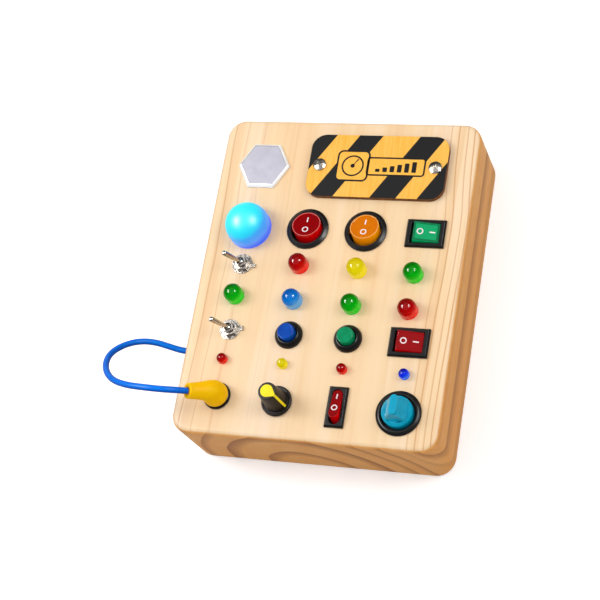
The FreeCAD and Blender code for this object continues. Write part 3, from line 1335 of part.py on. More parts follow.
doc.recompute()
for thing in doc.Objects:
    if "Invalid" in thing.State or "Error" in thing.State:
        raise RuntimeError("%s is %s" % (thing.Label, thing.State))
for thing in PARTS:
    if thing.Shape.isNull() or not thing.Shape.isValid() or not thing.Shape.Solids:
        raise RuntimeError("%s has no valid solid" % thing.Label)
for thing in PARTS:
    thing.Shape.exportStep("parts/%s.step" % thing.Label)
print("%d sub-parts, %d solids" % (len(PARTS), sum(len(p.Shape.Solids) for p in PARTS)))
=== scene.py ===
import bpy
import bmesh
import json
import math
from mathutils import Matrix, Vector


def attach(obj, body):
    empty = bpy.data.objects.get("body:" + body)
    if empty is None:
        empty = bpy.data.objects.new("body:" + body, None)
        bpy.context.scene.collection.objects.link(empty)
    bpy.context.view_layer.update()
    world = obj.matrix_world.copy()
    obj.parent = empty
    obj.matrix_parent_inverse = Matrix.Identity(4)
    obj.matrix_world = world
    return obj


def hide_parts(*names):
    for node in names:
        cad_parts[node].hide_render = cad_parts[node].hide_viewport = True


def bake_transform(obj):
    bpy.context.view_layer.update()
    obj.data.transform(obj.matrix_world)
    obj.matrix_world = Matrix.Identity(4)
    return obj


# A wooden busy board. Lengths are in millimetres here and turned to metres by MM.
# +Z points out of the face, +Y to the edge beside the sign, +X to the right.

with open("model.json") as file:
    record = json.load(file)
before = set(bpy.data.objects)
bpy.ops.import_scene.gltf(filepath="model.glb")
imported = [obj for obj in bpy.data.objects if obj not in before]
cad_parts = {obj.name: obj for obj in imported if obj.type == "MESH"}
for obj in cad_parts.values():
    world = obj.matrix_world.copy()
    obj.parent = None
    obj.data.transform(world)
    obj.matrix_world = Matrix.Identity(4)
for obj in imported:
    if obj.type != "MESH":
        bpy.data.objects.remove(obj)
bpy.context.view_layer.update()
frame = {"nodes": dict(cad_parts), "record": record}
NODES = frame["nodes"]

MM = 0.001
FACE = 45.0
scene = bpy.context.scene


# Camera, light and floor.

CAMERA_PLACE = (256.99, -288.73, 787.77)
CAMERA_FORWARD = (-0.32221, 0.32809, -0.88800)
CAMERA_UP = (-0.05411, 0.93011, 0.36328)
LENS = 95.42


def add_camera():
    forward = Vector(CAMERA_FORWARD).normalized()
    right = forward.cross(Vector(CAMERA_UP)).normalized()
    up = right.cross(forward)
    data = bpy.data.cameras.new("camera")
    data.lens = LENS
    data.sensor_width = 36.0
    data.clip_start = 0.05
    camera = bpy.data.objects.new("camera", data)
    turn = Matrix((right, up, -forward)).transposed().to_4x4()
    camera.matrix_world = Matrix.Translation(Vector(CAMERA_PLACE) * MM) @ turn
    scene.collection.objects.link(camera)
    scene.camera = camera


def add_softbox(name, place, size, watts, only_glints=False):
    data = bpy.data.lights.new(name, "AREA")
    data.shape = "RECTANGLE"
    data.size, data.size_y = (side * MM for side in size)
    data.energy = watts
    light = bpy.data.objects.new(name, data)
    light.location = Vector(place) * MM
    aim = Vector((0, 0, 30)) - Vector(place)
    light.rotation_euler = aim.to_track_quat("-Z", "Y").to_euler()
    light.visible_diffuse = not only_glints
    scene.collection.objects.link(light)


def linear(code):
    """An sRGB hex colour as linear red, green, blue, alpha."""
    channels = [int(code[i:i + 2], 16) / 255 for i in (1, 3, 5)]
    return [c / 12.92 if c <= 0.04045 else ((c + 0.055) / 1.055) ** 2.4
            for c in channels] + [1.0]


def add_node(tree, kind, inputs=(), **settings):
    """Add a node; inputs pairs a socket's name or number with a value or an output."""
    item = tree.nodes.new("ShaderNode" + kind)
    for key, value in settings.items():
        setattr(item, key, value)
    for socket, value in dict(inputs).items():
        if isinstance(value, bpy.types.NodeSocket):
            tree.links.new(value, item.inputs[socket])
        else:
            item.inputs[socket].default_value = value
    return item


def ramp(tree, factor, stops, interpolation="LINEAR"):
    """A colour ramp; stops are (position, hex colour)."""
    item = add_node(tree, "ValToRGB", {"Fac": factor})
    item.color_ramp.interpolation = interpolation
    elements = item.color_ramp.elements
    while len(elements) < len(stops):
        elements.new(0.5)
    for element, (position, code) in zip(elements, stops):
        element.position = position
    for element, (position, code) in zip(elements, stops):
        element.color = linear(code)
    return item.outputs["Color"]


def math_node(tree, operation, *values, clamp=False):
    item = add_node(tree, "Math", dict(enumerate(values)), operation=operation,
                    use_clamp=clamp)
    return item.outputs[0]


def map_range(tree, value, low, high):
    """A value's place on the way from low to high, held to 0 and 1; low may be larger."""
    item = add_node(tree, "MapRange", {"Value": value, "From Min": low, "From Max": high})
    return item.outputs["Result"]


def strongest(tree, factors):
    """The largest of several factors."""
    largest = factors[0]
    for factor in factors[1:]:
        largest = math_node(tree, "MAXIMUM", largest, factor)
    return largest


def surface_normal(tree):
    """The surface's normal, and how far it points up."""
    normal = add_node(tree, "NewGeometry").outputs["Normal"]
    return normal, add_node(tree, "SeparateXYZ", {0: normal}).outputs[2]


def mix_colour(tree, factor, one, other, blend="MIX"):
    item = add_node(tree, "Mix", data_type="RGBA", blend_type=blend)
    for socket, value in ((0, factor), (6, one), (7, other)):
        if isinstance(value, bpy.types.NodeSocket):
            tree.links.new(value, item.inputs[socket])
        else:
            item.inputs[socket].default_value = linear(value) if socket else value
    return item.outputs[2]


def new_material(name, code, roughness, metallic=0.0, **sockets):
    """A material with its shader; further sockets are given by name with _ for spaces."""
    material = bpy.data.materials.new(name)
    material.use_nodes = True
    tree = material.node_tree
    shader = tree.nodes["Principled BSDF"]
    shader.inputs["Base Color"].default_value = linear(code)
    shader.inputs["Roughness"].default_value = roughness
    shader.inputs["Metallic"].default_value = metallic
    for key, value in sockets.items():
        shader.inputs[key.replace("_", " ")].default_value = value
    return material, tree, shader


def place_in_mm(tree):
    """The place on the object, in millimetres, as a vector and its three parts."""
    coordinates = add_node(tree, "TexCoord").outputs["Object"]
    scaled = add_node(tree, "VectorMath", {0: coordinates, 1: (1000, 1000, 1000)},
                      operation="MULTIPLY").outputs[0]
    parts = add_node(tree, "SeparateXYZ", {0: scaled}).outputs
    return scaled, parts


def noise(tree, vector, scale, detail=2.0, stretch=(1, 1, 1), distortion=0.0):
    """Noise over a place in mm; scale is in features per mm."""
    stretched = add_node(tree, "VectorMath", {0: vector, 1: stretch},
                         operation="MULTIPLY").outputs[0]
    item = add_node(tree, "TexNoise", {"Vector": stretched, "Scale": scale, "Detail": detail,
                                       "Distortion": distortion})
    return item.outputs["Fac"]


def bump(tree, shader, height, distance_mm, strength=1.0):
    item = add_node(tree, "Bump", {"Height": height, "Strength": strength,
                                   "Distance": distance_mm * MM})
    tree.links.new(item.outputs["Normal"], shader.inputs["Normal"])


def colour(tree, shader, output):
    tree.links.new(output, shader.inputs["Base Color"])


# Pine: sawn, sanded and waxed. Growth rings are drawn round a pith below the board's
# middle, so that the ends show arches. Each is a radius, the width of its late wood and
# its strength. The face has a few thin growth lines, each a place along X and a strength.

RINGS = [(25.5, 6.4, 0.9), (45.5, 7.6, 1.0), (58.5, 4.6, 0.75), (69.5, 4.4, 0.8),
         (78.5, 3.0, 0.35), (86.0, 4.4, 0.8), (95.0, 3.4, 0.6)]
PITH_X = -3.0
PITH_LEAN = -0.2
PITH_Z = -5.6
RING_STRETCH = 1.15
RING_WANDER = 5.0
LATE_WOOD_POWER = 0.8
FACE_LINES = [(-66.5, 0.65), (-59.3, 0.4), (-49.3, 0.28), (-30.0, 0.15), (57.5, 0.5),
              (61.5, 0.75), (66.0, 0.6), (69.4, 0.8)]
FACE_LINE_WIDTH = 0.55
FACE_LINE_DRIFT = 9.0


def wander_by(tree, place, scale, stretch, reach):
    """A slow drift of up to half the reach to either side, in mm."""
    drift = math_node(tree, "SUBTRACT", noise(tree, place, scale, 2.0, stretch), 0.5)
    return math_node(tree, "MULTIPLY", drift, reach)


def pine_rings(tree, place, x, z):
    """How much late wood there is at a place in the block."""
    centre = math_node(tree, "ADD", math_node(tree, "MULTIPLY", z, PITH_LEAN), PITH_X)
    across = math_node(tree, "SUBTRACT", x, centre)
    up = math_node(tree, "DIVIDE", math_node(tree, "SUBTRACT", z, PITH_Z), RING_STRETCH)
    distance = math_node(tree, "SQRT", math_node(
        tree, "ADD", math_node(tree, "POWER", across, 2.0), math_node(tree, "POWER", up, 2.0)))
    distance = math_node(tree, "ADD", distance,
                         wander_by(tree, place, 0.02, (1, 0.25, 1), RING_WANDER))
    bands = []
    for radius, width, strength in RINGS:
        # Late wood darkens slowly outwards and ends at a sharper line.
        inside = math_node(tree, "SUBTRACT", radius, distance)
        soft = math_node(tree, "SUBTRACT", 1.0, math_node(tree, "DIVIDE", inside, width),
                         clamp=True)
        soft = math_node(tree, "POWER", soft, LATE_WOOD_POWER)
        edge = math_node(tree, "MULTIPLY", math_node(tree, "ADD", inside, 0.35), 1.6,
                         clamp=True)
        bands.append(math_node(tree, "MULTIPLY", math_node(tree, "MULTIPLY", soft, edge),
                               strength))
    # On the face the rings are cut flat and pale, and show a little near the sides.
    off_face = map_range(tree, z, FACE - 0.4, FACE - 2.6)
    near_side = map_range(tree, math_node(tree, "ABSOLUTE", x), 38.0, 50.0)
    on_face = math_node(tree, "ADD", math_node(tree, "MULTIPLY", near_side, 0.26), 0.08)
    return math_node(tree, "MULTIPLY", strongest(tree, bands),
                     math_node(tree, "MAXIMUM", off_face, on_face))


def pine_face_lines(tree, place, x):
    """The thin growth lines that run along the face."""
    drift = wander_by(tree, place, 0.03, (0.3, 0.3, 0.3), FACE_LINE_DRIFT)
    drifted = math_node(tree, "ADD", x, drift)
    lines = []
    for column, strength in FACE_LINES:
        off = math_node(tree, "ABSOLUTE", math_node(tree, "SUBTRACT", drifted, column))
        line = math_node(tree, "SUBTRACT", 1.0,
                         math_node(tree, "DIVIDE", off, FACE_LINE_WIDTH), clamp=True)
        lines.append(math_node(tree, "MULTIPLY", line, strength))
    return strongest(tree, lines)


def make_pine():
    """Pale, warm, faintly streaked wood with a satin wax; its walls are painted darker as
    shade, partly the end grain's own deeper tone.
    """
    material, tree, shader = new_material("pine_sanded", "#fbdfbf", 0.45,
                                          Specular_IOR_Level=0.22)
    place, (x, y, z) = place_in_mm(tree)
    rings = pine_rings(tree, place, x, z)
    fibres = noise(tree, place, 0.45, 5.0, (1, 0.03, 1), 0.6)
    broad = noise(tree, place, 0.07, 2.0, (1, 0.10, 1))
    base = ramp(tree, broad, [(0.30, "#f3ce9f"), (0.50, "#f5d5a8"), (0.72, "#f8ddbb")])
    streak = ramp(tree, fibres, [(0.34, "#f0d4a8"), (0.50, "#ffffff")])
    base = mix_colour(tree, 0.15, base, streak, "MULTIPLY")
    # Painted shade: the walls are drawn deeper than the face, by how far they turn from up.
    normal, upward = surface_normal(tree)
    side = map_range(tree, math_node(tree, "ABSOLUTE", upward), 0.80, 0.60)
    base = mix_colour(tree, side, base, mix_colour(tree, 1.0, base, "#fbd296", "MULTIPLY"))
    # A painted-shade copy of the late wood for the walls; the end grain, drinking more wax, is
    # a little deeper in its own right.
    late_wood = mix_colour(tree, side, "#dca266", "#ae6a32")
    wood = mix_colour(tree, rings, base, late_wood)
    on_face = math_node(tree, "SUBTRACT", 1.0, side)
    lines = math_node(tree, "MULTIPLY", pine_face_lines(tree, place, x), on_face)
    wood = mix_colour(tree, lines, wood, "#cf8c4c")
    pores = ramp(tree, noise(tree, place, 1.1, 3.0, (1, 0.10, 1)),
                 [(0.32, "#e8c8a0"), (0.52, "#ffffff")])
    wood = mix_colour(tree, math_node(tree, "MULTIPLY", side, 0.45), wood, pores, "MULTIPLY")
    colour(tree, shader, wood)
    bump(tree, shader, fibres, 0.03, 0.4)
    return material


def make_plywood():
    """Rotary-cut plywood: long wavy figure along the sheet, dull and a little rough."""
    material, tree, shader = new_material("plywood_sheet", "#e2c193", 0.62)
    place, parts = place_in_mm(tree)
    figure = noise(tree, place, 0.12, 4.0, (1, 0.08, 1), 1.2)
    fine = noise(tree, place, 1.6, 2.0, (1, 0.04, 1))
    base = ramp(tree, figure, [(0.3, "#cfa873"), (0.5, "#e3c394"), (0.7, "#ecd2a8")])
    colour(tree, shader, mix_colour(tree, 0.3, base,
                                    ramp(tree, fine, [(0.35, "#c09a66"), (0.55, "#ffffff")]),
                                    "MULTIPLY"))
    bump(tree, shader, fine, 0.04, 0.5)
    return material


# Tinted plastic is painted brightest on the side facing this way: painted light gathered by
# the lens.
LIT_SIDE = (0.62, -0.68, -0.40)
SIGN_CENTRE = (18.3, 63.0)
STRIPE_SLANT = 0.63
STRIPES = [(-60.0, -17.9), (-5.4, 7.9), (28.3, 42.8), (54.2, 90.0)]


def make_sign_print():
    """Ink printed on laser-cut plywood: flat colours on top, a scorched brown edge."""
    material, tree, shader = new_material("printed_plywood", "#ffbe4b", 0.5,
                                          Specular_IOR_Level=0.15)
    place, (x, y, z) = place_in_mm(tree)
    slant = math_node(tree, "SUBTRACT", x, math_node(
        tree, "MULTIPLY", math_node(tree, "SUBTRACT", y, SIGN_CENTRE[1]), STRIPE_SLANT))
    stripes = []
    for low, high in STRIPES:
        begun = math_node(tree, "MULTIPLY", math_node(tree, "SUBTRACT", slant, low), 8.0,
                          clamp=True)
        ended = math_node(tree, "MULTIPLY", math_node(tree, "SUBTRACT", high, slant), 8.0,
                          clamp=True)
        stripes.append(math_node(tree, "MULTIPLY", begun, ended))
    grain = noise(tree, place, 0.9, 3.0, (1, 0.06, 1))
    yellow = ramp(tree, grain, [(0.3, "#fbb23c"), (0.7, "#ffc35a")])
    ink = mix_colour(tree, strongest(tree, stripes), yellow, "#121212")
    normal, upward = surface_normal(tree)
    on_top = math_node(tree, "GREATER_THAN", upward, 0.7)
    char = ramp(tree, grain, [(0.3, "#4a2a10"), (0.7, "#8a5423")])
    colour(tree, shader, mix_colour(tree, on_top, char, ink))
    bump(tree, shader, grain, 0.02, 0.4)
    return material


def make_moulded(name, code, dark, roughness, grit=2.5, depth=0.01, gloss=0.22):
    """Injection-moulded plastic: an even colour with faint clouding and a fine texture."""
    material, tree, shader = new_material(name, code, roughness, Specular_IOR_Level=gloss)
    place, parts = place_in_mm(tree)
    cloud = noise(tree, place, 0.25, 2.0)
    texture = noise(tree, place, grit, 2.0)
    colour(tree, shader, ramp(tree, cloud, [(0.3, dark), (0.7, code)]))
    bump(tree, shader, texture, depth, 0.6)
    return material


def make_tinted(name, deep, body, bright, glow=0.12, roughness=0.06, gloss=0.22):
    """Tinted clear plastic with painted light: drawn deep on the side the light enters, bright
    on the far side and on the upright wall as painted light that the lens gathers, with a
    painted emission glow and a wet gloss."""
    material, tree, shader = new_material(name, body, roughness, Specular_IOR_Level=gloss)
    normal, upward = surface_normal(tree)
    along = add_node(tree, "VectorMath", {0: normal, 1: LIT_SIDE},
                     operation="DOT_PRODUCT").outputs["Value"]
    place, parts = place_in_mm(tree)
    cloud = noise(tree, place, 0.5, 2.0)
    # Painted light: brighter toward LIT_SIDE and on the upright wall, darker on the side the
    # light enters.
    upright = map_range(tree, upward, 0.22, 0.10)
    share = math_node(tree, "MULTIPLY", along, 0.34)
    share = math_node(tree, "ADD", share, math_node(tree, "MULTIPLY", cloud, 0.2))
    share = math_node(tree, "ADD", share, math_node(tree, "MULTIPLY", upright, 0.16))
    share = math_node(tree, "ADD", share, 0.34, clamp=True)
    tint_with_painted_light = ramp(tree, share, [(0.22, deep), (0.52, body), (0.90, bright)])
    colour(tree, shader, tint_with_painted_light)
    # Painted glow: the tint is also given off as emission, though the part is no lamp.
    tree.links.new(tint_with_painted_light, shader.inputs["Emission Color"])
    shader.inputs["Emission Strength"].default_value = glow
    return material


def make_metal(name, code, dark, roughness, brush=0.0):
    """Plated or polished metal: a slightly uneven polish, with turning marks where brushed."""
    material, tree, shader = new_material(name, code, roughness, 1.0)
    place, parts = place_in_mm(tree)
    cloud = noise(tree, place, 0.8, 3.0)
    colour(tree, shader, ramp(tree, cloud, [(0.3, dark), (0.7, code)]))
    low, high = roughness * 0.7, min(roughness * 1.5, 1.0)
    spread = add_node(tree, "MapRange", {"Value": cloud, "From Min": 0.3, "From Max": 0.7,
                                         "To Min": low, "To Max": high})
    tree.links.new(spread.outputs["Result"], shader.inputs["Roughness"])
    if brush:
        marks = noise(tree, place, 6.0, 2.0, (1, 1, 4))
        bump(tree, shader, marks, 0.01, brush)
    return material


LAMP_CENTRE = (-47.9, 25.4)


def make_lamp_glow():
    """Frosted acrylic dome lit from inside: cyan cap over a deeper blue wall, soft shine; the
    glow's lean to the upper left and its palest top are in part a painted highlight.
    """
    material, tree, shader = new_material("acrylic_dome_lit", "#2bc8f2", 0.42,
                                          Specular_IOR_Level=0.7)
    place, (x, y, z) = place_in_mm(tree)
    east = math_node(tree, "SUBTRACT", x, LAMP_CENTRE[0])
    north = math_node(tree, "SUBTRACT", y, LAMP_CENTRE[1])
    height = math_node(tree, "SUBTRACT", z, FACE)
    # Leaning the glow toward the left softbox paints part of that softbox's highlight into the
    # lamp's own light.
    height = math_node(tree, "SUBTRACT", height, math_node(tree, "MULTIPLY", east, 0.22))
    height = math_node(tree, "ADD", height, math_node(tree, "MULTIPLY", north, 0.10))
    mist = math_node(tree, "MULTIPLY", noise(tree, place, 0.3, 2.0), 1.2)
    share = math_node(tree, "DIVIDE", math_node(tree, "ADD", height, mist), 20.0, clamp=True)
    glow = ramp(tree, share, [(0.02, "#2a62ff"), (0.20, "#4a98ff"), (0.42, "#38a8ff"),
                              (0.54, "#00d8ff"), (0.70, "#00f0ff"), (0.95, "#30ffff")])
    colour(tree, shader, mix_colour(tree, 1.0, glow, "#8a8a8a", "MULTIPLY"))
    tree.links.new(glow, shader.inputs["Emission Color"])
    shader.inputs["Emission Strength"].default_value = 0.74
    return material


def make_mirror():
    """Silvered acrylic with a faint lilac cast; its ground bevel is frosted white."""
    material, tree, shader = new_material("acrylic_mirror", "#e2e0e6", 0.22, 1.0)
    place, parts = place_in_mm(tree)
    haze = noise(tree, place, 0.15, 2.0)
    normal, upward = surface_normal(tree)
    polished = map_range(tree, upward, 0.90, 0.97)
    silver = ramp(tree, haze, [(0.3, "#dedce4"), (0.7, "#e8e6ee")])
    colour(tree, shader, mix_colour(tree, polished, "#fbfbf6", silver))
    tree.links.new(polished, shader.inputs["Metallic"])
    return material


def make_cord_vinyl():
    """Soft extruded vinyl: smooth along its length with the faintest ripple; painted lighter
    on top and darker beneath as painted light and shade.
    """
    material, tree, shader = new_material("vinyl_cord", "#0a6fe0", 0.34,
                                          Specular_IOR_Level=0.1)
    place, parts = place_in_mm(tree)
    ripple = noise(tree, place, 0.5, 2.0)
    # Painted light and shade: dark blue beneath, rising to a bright, highlight-like blue where
    # the cord faces up.
    normal = add_node(tree, "NewGeometry").outputs["Normal"]
    painted_lit = add_node(tree, "VectorMath", {0: normal, 1: (0.12, 0.0, 0.9)},
                   operation="DOT_PRODUCT").outputs["Value"]
    share = math_node(tree, "ADD", painted_lit, math_node(tree, "MULTIPLY", ripple, 0.2))
    colour(tree, shader, ramp(tree, share, [(0.2, "#0048a8"), (0.65, "#0062d4"),
                                            (0.95, "#007cf0")]))
    bump(tree, shader, ripple, 0.05, 0.3)
    return material


PINE = make_pine()
PLYWOOD = make_plywood()
SIGN_PRINT = make_sign_print()
MIRROR = make_mirror()
LAMP = make_lamp_glow()
CORD = make_cord_vinyl()
BLACK = make_moulded("nylon_switch_black", "#1a1918", "#100f0f", 0.3, 3.0, 0.006)
BLACK_CASE = make_moulded("abs_case_black", "#222224", "#19191a", 0.5, 2.0, 0.03)
RUBBER = make_moulded("rubber_grommet", "#191919", "#121212", 0.75, 2.0, 0.02)
INK = make_moulded("printing_ink_black", "#121212", "#0c0c0c", 0.5, 3.0, 0.002, 0.15)
INK_YELLOW = make_moulded("printing_ink_yellow", "#ffc04e", "#fdb640", 0.5, 3.0, 0.002, 0.15)
WHITE_MARK = make_moulded("pad_printed_white", "#f6ecec", "#eadede", 0.45, 3.0, 0.002)
SLEEVE = make_moulded("vinyl_sleeve_yellow", "#ffc800", "#ffc000", 0.42, 1.2, 0.015, 0.05)
KNOB_DARK = make_moulded("phenolic_knob", "#231a12", "#150f0a", 0.42, 2.5, 0.02)
CAP_YELLOW = make_moulded("knob_cap_yellow", "#fff000", "#ffe200", 0.3, 2.0, 0.004)
TEAL = make_moulded("teal_knob_abs", "#00a8c8", "#009abc", 0.2, 2.0, 0.004, 0.25)
BLUE_CAP = make_moulded("button_blue", "#004cb0", "#0040a0", 0.26, 2.0, 0.004, 0.1)
GREEN_CAP = make_moulded("button_green", "#009460", "#008250", 0.26, 2.0, 0.004, 0.1)
# Each tinted plastic runs from painted shade to painted light; an LED's last number is its
# painted glow.
RED_ROCKER = make_tinted("rocker_red_tinted", "#820003", "#a00006", "#e00004", gloss=0.2)
AMBER_ROCKER = make_tinted("rocker_amber_tinted", "#cc6a00", "#e08200", "#ff9c00", gloss=0.25)
GREEN_ROCKER = make_tinted("rocker_green_tinted", "#005a36", "#008a52", "#00c074", gloss=0.25)
GREEN_PLATE = make_tinted("rocker_green_plate", "#00965a", "#00a664", "#0cca80", gloss=0.25)
RED_LED = make_tinted("epoxy_red", "#780000", "#a80000", "#f20c00", 0.12)
YELLOW_LED = make_tinted("epoxy_yellow", "#c4b000", "#dccb00", "#ffee10", 0.14)
GREEN_LED = make_tinted("epoxy_green", "#006400", "#009c0a", "#0cdc18", 0.14)
BLUE_LED = make_tinted("epoxy_blue", "#00509c", "#0474cc", "#62b0ee", 0.14)
DEEP_BLUE_LED = make_tinted("epoxy_deep_blue", "#000a80", "#0028e0", "#1c70ff", 0.22)
CHROME = make_metal("chrome_lever", "#cdc6be", "#b3aaa0", 0.16)
NICKEL = make_metal("nickel_bushing", "#a59f98", "#79726b", 0.22, 0.3)
BRIGHT = make_metal("zinc_washer", "#b5b0a8", "#857f77", 0.24, 0.2)
STEEL = make_metal("steel_screw", "#b9b9b7", "#8f8f8c", 0.35, 0.4)
BRASS = make_metal("tinned_brass", "#c8b37a", "#a89361", 0.35, 0.3)
CELL_WRAP = make_metal("cell_can", "#5f6672", "#4a505a", 0.4)
BOARD_WHITE = make_moulded("circuit_board_white", "#ecece6", "#dcdcd4", 0.5, 2.0, 0.01)

FINISHES = {
    PINE: ["wood_housing"],
    PLYWOOD: ["back_panel"],
    SIGN_PRINT: ["sign_plate"],
    MIRROR: ["mirror"],
    LAMP: ["lamp_dome"],
    BLACK: ["red_round_body", "amber_round_body", "green_flat_body", "red_flat_body",
            "slim_body", "rotary_body", "blue_button_body", "green_button_body",
            "jack_socket"],
    BLACK_CASE: ["battery_box", "battery_door", "lamp_base"],
    RUBBER: ["cord_grommet"],
    CORD: ["cord_inner_end"],
    KNOB_DARK: ["pot_knob"],
    CAP_YELLOW: ["pot_knob_cap"],
    TEAL: ["rotary_knob"],
    BLUE_CAP: ["blue_button_cap"],
    GREEN_CAP: ["green_button_cap"],
    RED_ROCKER: ["red_round_rocker", "red_flat_rocker", "slim_rocker"],
    AMBER_ROCKER: ["amber_round_rocker"],
    GREEN_ROCKER: ["green_flat_rocker"],
    RED_LED: ["large_red_leds", "small_red_leds"],
    YELLOW_LED: ["large_yellow_led", "small_yellow_led"],
    GREEN_LED: ["large_green_leds"],
    BLUE_LED: ["large_blue_led"],
    DEEP_BLUE_LED: ["small_blue_led"],
    CHROME: ["upper_toggle_lever", "lower_toggle_lever"],
    NICKEL: ["upper_toggle_body", "lower_toggle_body", "pot_body", "pot_shaft", "plug_pin"],
    BRIGHT: ["toggle_tab_washers", "toggle_star_washers", "toggle_nuts", "panel_nuts",
             "pot_nut", "sign_screws"],
    STEEL: ["back_panel_screws", "battery_door_screw", "blue_button_spring",
            "green_button_spring", "led_leads", "battery_contacts"],
    BRASS: ["switch_terminals"],
    CELL_WRAP: ["battery_cells"],
    BOARD_WHITE: ["lamp_led_board"],
}
FINISH_OF = {node: material for material, nodes in FINISHES.items() for node in nodes}


def dress_node(node, material):
    slots = NODES[node].material_slots
    if not slots:
        NODES[node].data.materials.append(material)
    for slot in slots:
        slot.material = material


for node_name, finish in FINISH_OF.items():
    dress_node(node_name, finish)

BODY_OF = {node: body for body, nodes in frame["record"]["behaviour"]["bodies"].items()
           for node in nodes}


# Pieces in mesh code.

def finish_piece(name, mesh_source, material, body, sharp_degrees=35):
    """Link a bmesh as a smooth-shaded object that rides on a body, where one is named."""
    mesh = bpy.data.meshes.new(name)
    bmesh.ops.recalc_face_normals(mesh_source, faces=mesh_source.faces)
    mesh_source.to_mesh(mesh)
    mesh_source.free()
    mesh.shade_smooth()
    mesh.set_sharp_from_angle(angle=math.radians(sharp_degrees))
    mesh.materials.append(material)
    piece = bpy.data.objects.new(name, mesh)
    scene.collection.objects.link(piece)
    if body:
        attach(piece, body)
    return piece


def keep_flats_flat(mesh):
    """Weigh each corner's normal by face area, so a flat face shades flat to its edge."""
    heavy = [Vector() for vertex in mesh.vertices]
    for face in mesh.polygons:
        for vertex in face.vertices:
            heavy[vertex] += face.normal * face.area
    cut = math.cos(math.radians(50))
    corners = []
    for face in mesh.polygons:
        for vertex in face.vertices:
            normal = heavy[vertex].normalized()
            corners.append(normal if normal.dot(face.normal) > cut else face.normal.copy())
    mesh.normals_split_custom_set(corners)


def softened(node, edge, segments=2, angle=32):
    """The node's own shape with its sharp edges rounded, in place of the node."""
    shape = bmesh.new()
    shape.from_mesh(NODES[node].data)
    bmesh.ops.remove_doubles(shape, verts=shape.verts, dist=0.002 * MM)
    bmesh.ops.dissolve_limit(shape, angle_limit=math.radians(0.8), verts=shape.verts,
                             edges=shape.edges)
    limit = math.radians(angle)
    sharp = [e for e in shape.edges if len(e.link_faces) == 2
             and e.calc_face_angle(0.0) > limit]
    bmesh.ops.bevel(shape, geom=sharp, offset=edge * MM, offset_type="OFFSET",
                    segments=segments, profile=0.5, affect="EDGES", clamp_overlap=True)
    piece = finish_piece(node + "_rounded", shape, FINISH_OF[node], BODY_OF[node],
                         40)
    keep_flats_flat(piece.data)
    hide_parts(node)
    return piece


def prism(shape, outline, low, high, hole=None):
    """Add an upright prism to a bmesh, with an inner outline cut out of it if given."""
    def ring(points, level):
        return [shape.verts.new((x * MM, y * MM, level * MM)) for x, y in points]
    outer = [ring(outline, low), ring(outline, high)]
    count = len(outline)
    for i in range(count):
        j = (i + 1) % count
        shape.faces.new((outer[0][i], outer[0][j], outer[1][j], outer[1][i]))
    if hole is None:
        shape.faces.new(outer[1])
        shape.faces.new(outer[0][::-1])
        return
    inner = [ring(hole, low), ring(hole, high)]
    for i in range(count):
        j = (i + 1) % count
        shape.faces.new((inner[0][j], inner[0][i], inner[1][i], inner[1][j]))
        shape.faces.new((outer[1][i], outer[1][j], inner[1][j], inner[1][i]))
        shape.faces.new((outer[0][j], outer[0][i], inner[0][i], inner[0][j]))


def circle(x, y, radius, steps=48):
    turns = [2 * math.pi * i / steps for i in range(steps)]
    return [(x + radius * math.cos(t), y + radius * math.sin(t)) for t in turns]


def rounded_rectangle(x, y, width, height, corner, steps=6):
    points = []
    for east, north, start in ((1, 1, 0), (-1, 1, 90), (-1, -1, 180), (1, -1, 270)):
        for i in range(steps + 1):
            turn = math.radians(start + 90 * i / steps)
            points.append((x + east * (width / 2 - corner) + corner * math.cos(turn),
                           y + north * (height / 2 - corner) + corner * math.sin(turn)))
    return points


def tilt_about(pivot, axis, degrees):
    """Turn a point of a rocker's own frame to its place at rest."""
    place = Matrix.Translation(Vector(pivot) * MM)
    return place @ Matrix.Rotation(math.radians(degrees), 4, axis)


# Rockers: the pivots, axes and angles are those of the joints. Tops are over the pivot.

COLUMN_TWO, COLUMN_THREE, COLUMN_FOUR = -15.1, 17.2, 49.9
UPPER_ROW, RED_FLAT_ROW, SLIM_ROW = 26.2, -34.3, -71.4
PIVOT_HEIGHT = FACE - 1.0
SLIM_PIVOT_HEIGHT = FACE - 1.5
ROUND_TILT, FLAT_TILT, SLIM_TILT = -13, 11, -14
ROUND_TOP, FLAT_TOP, SLIM_TOP = 5.2, 4.5, 5.25
ROUND_RADIUS = 7.8
DISH = 0.35
PLATE_DROP = 0.1
ROCKER_MARK_RISE = 0.06
ROCKER_MARK_DEPTH = 0.05
RING_OUTER = 1.75
RING_INNER = 1.12
BAR_LENGTH = 3.1
BAR_WIDTH = 0.68


def add_marks(name, body, pivot, axis, degrees, top, ring_place, bar_place, bar_turned=False,
              small=1.0):
    """The printed ring and bar on a rocker."""
    shape = bmesh.new()
    prism(shape, circle(*ring_place, RING_OUTER * small), top - ROCKER_MARK_DEPTH,
          top + ROCKER_MARK_RISE, circle(*ring_place, RING_INNER * small))
    length, width = BAR_LENGTH * small, BAR_WIDTH * small
    width, length = (length, width) if bar_turned else (width, length)
    prism(shape, rounded_rectangle(*bar_place, width, length, 0.25), top - ROCKER_MARK_DEPTH,
          top + ROCKER_MARK_RISE)
    shape.transform(tilt_about(pivot, axis, degrees))
    finish_piece(name, shape, WHITE_MARK, body)


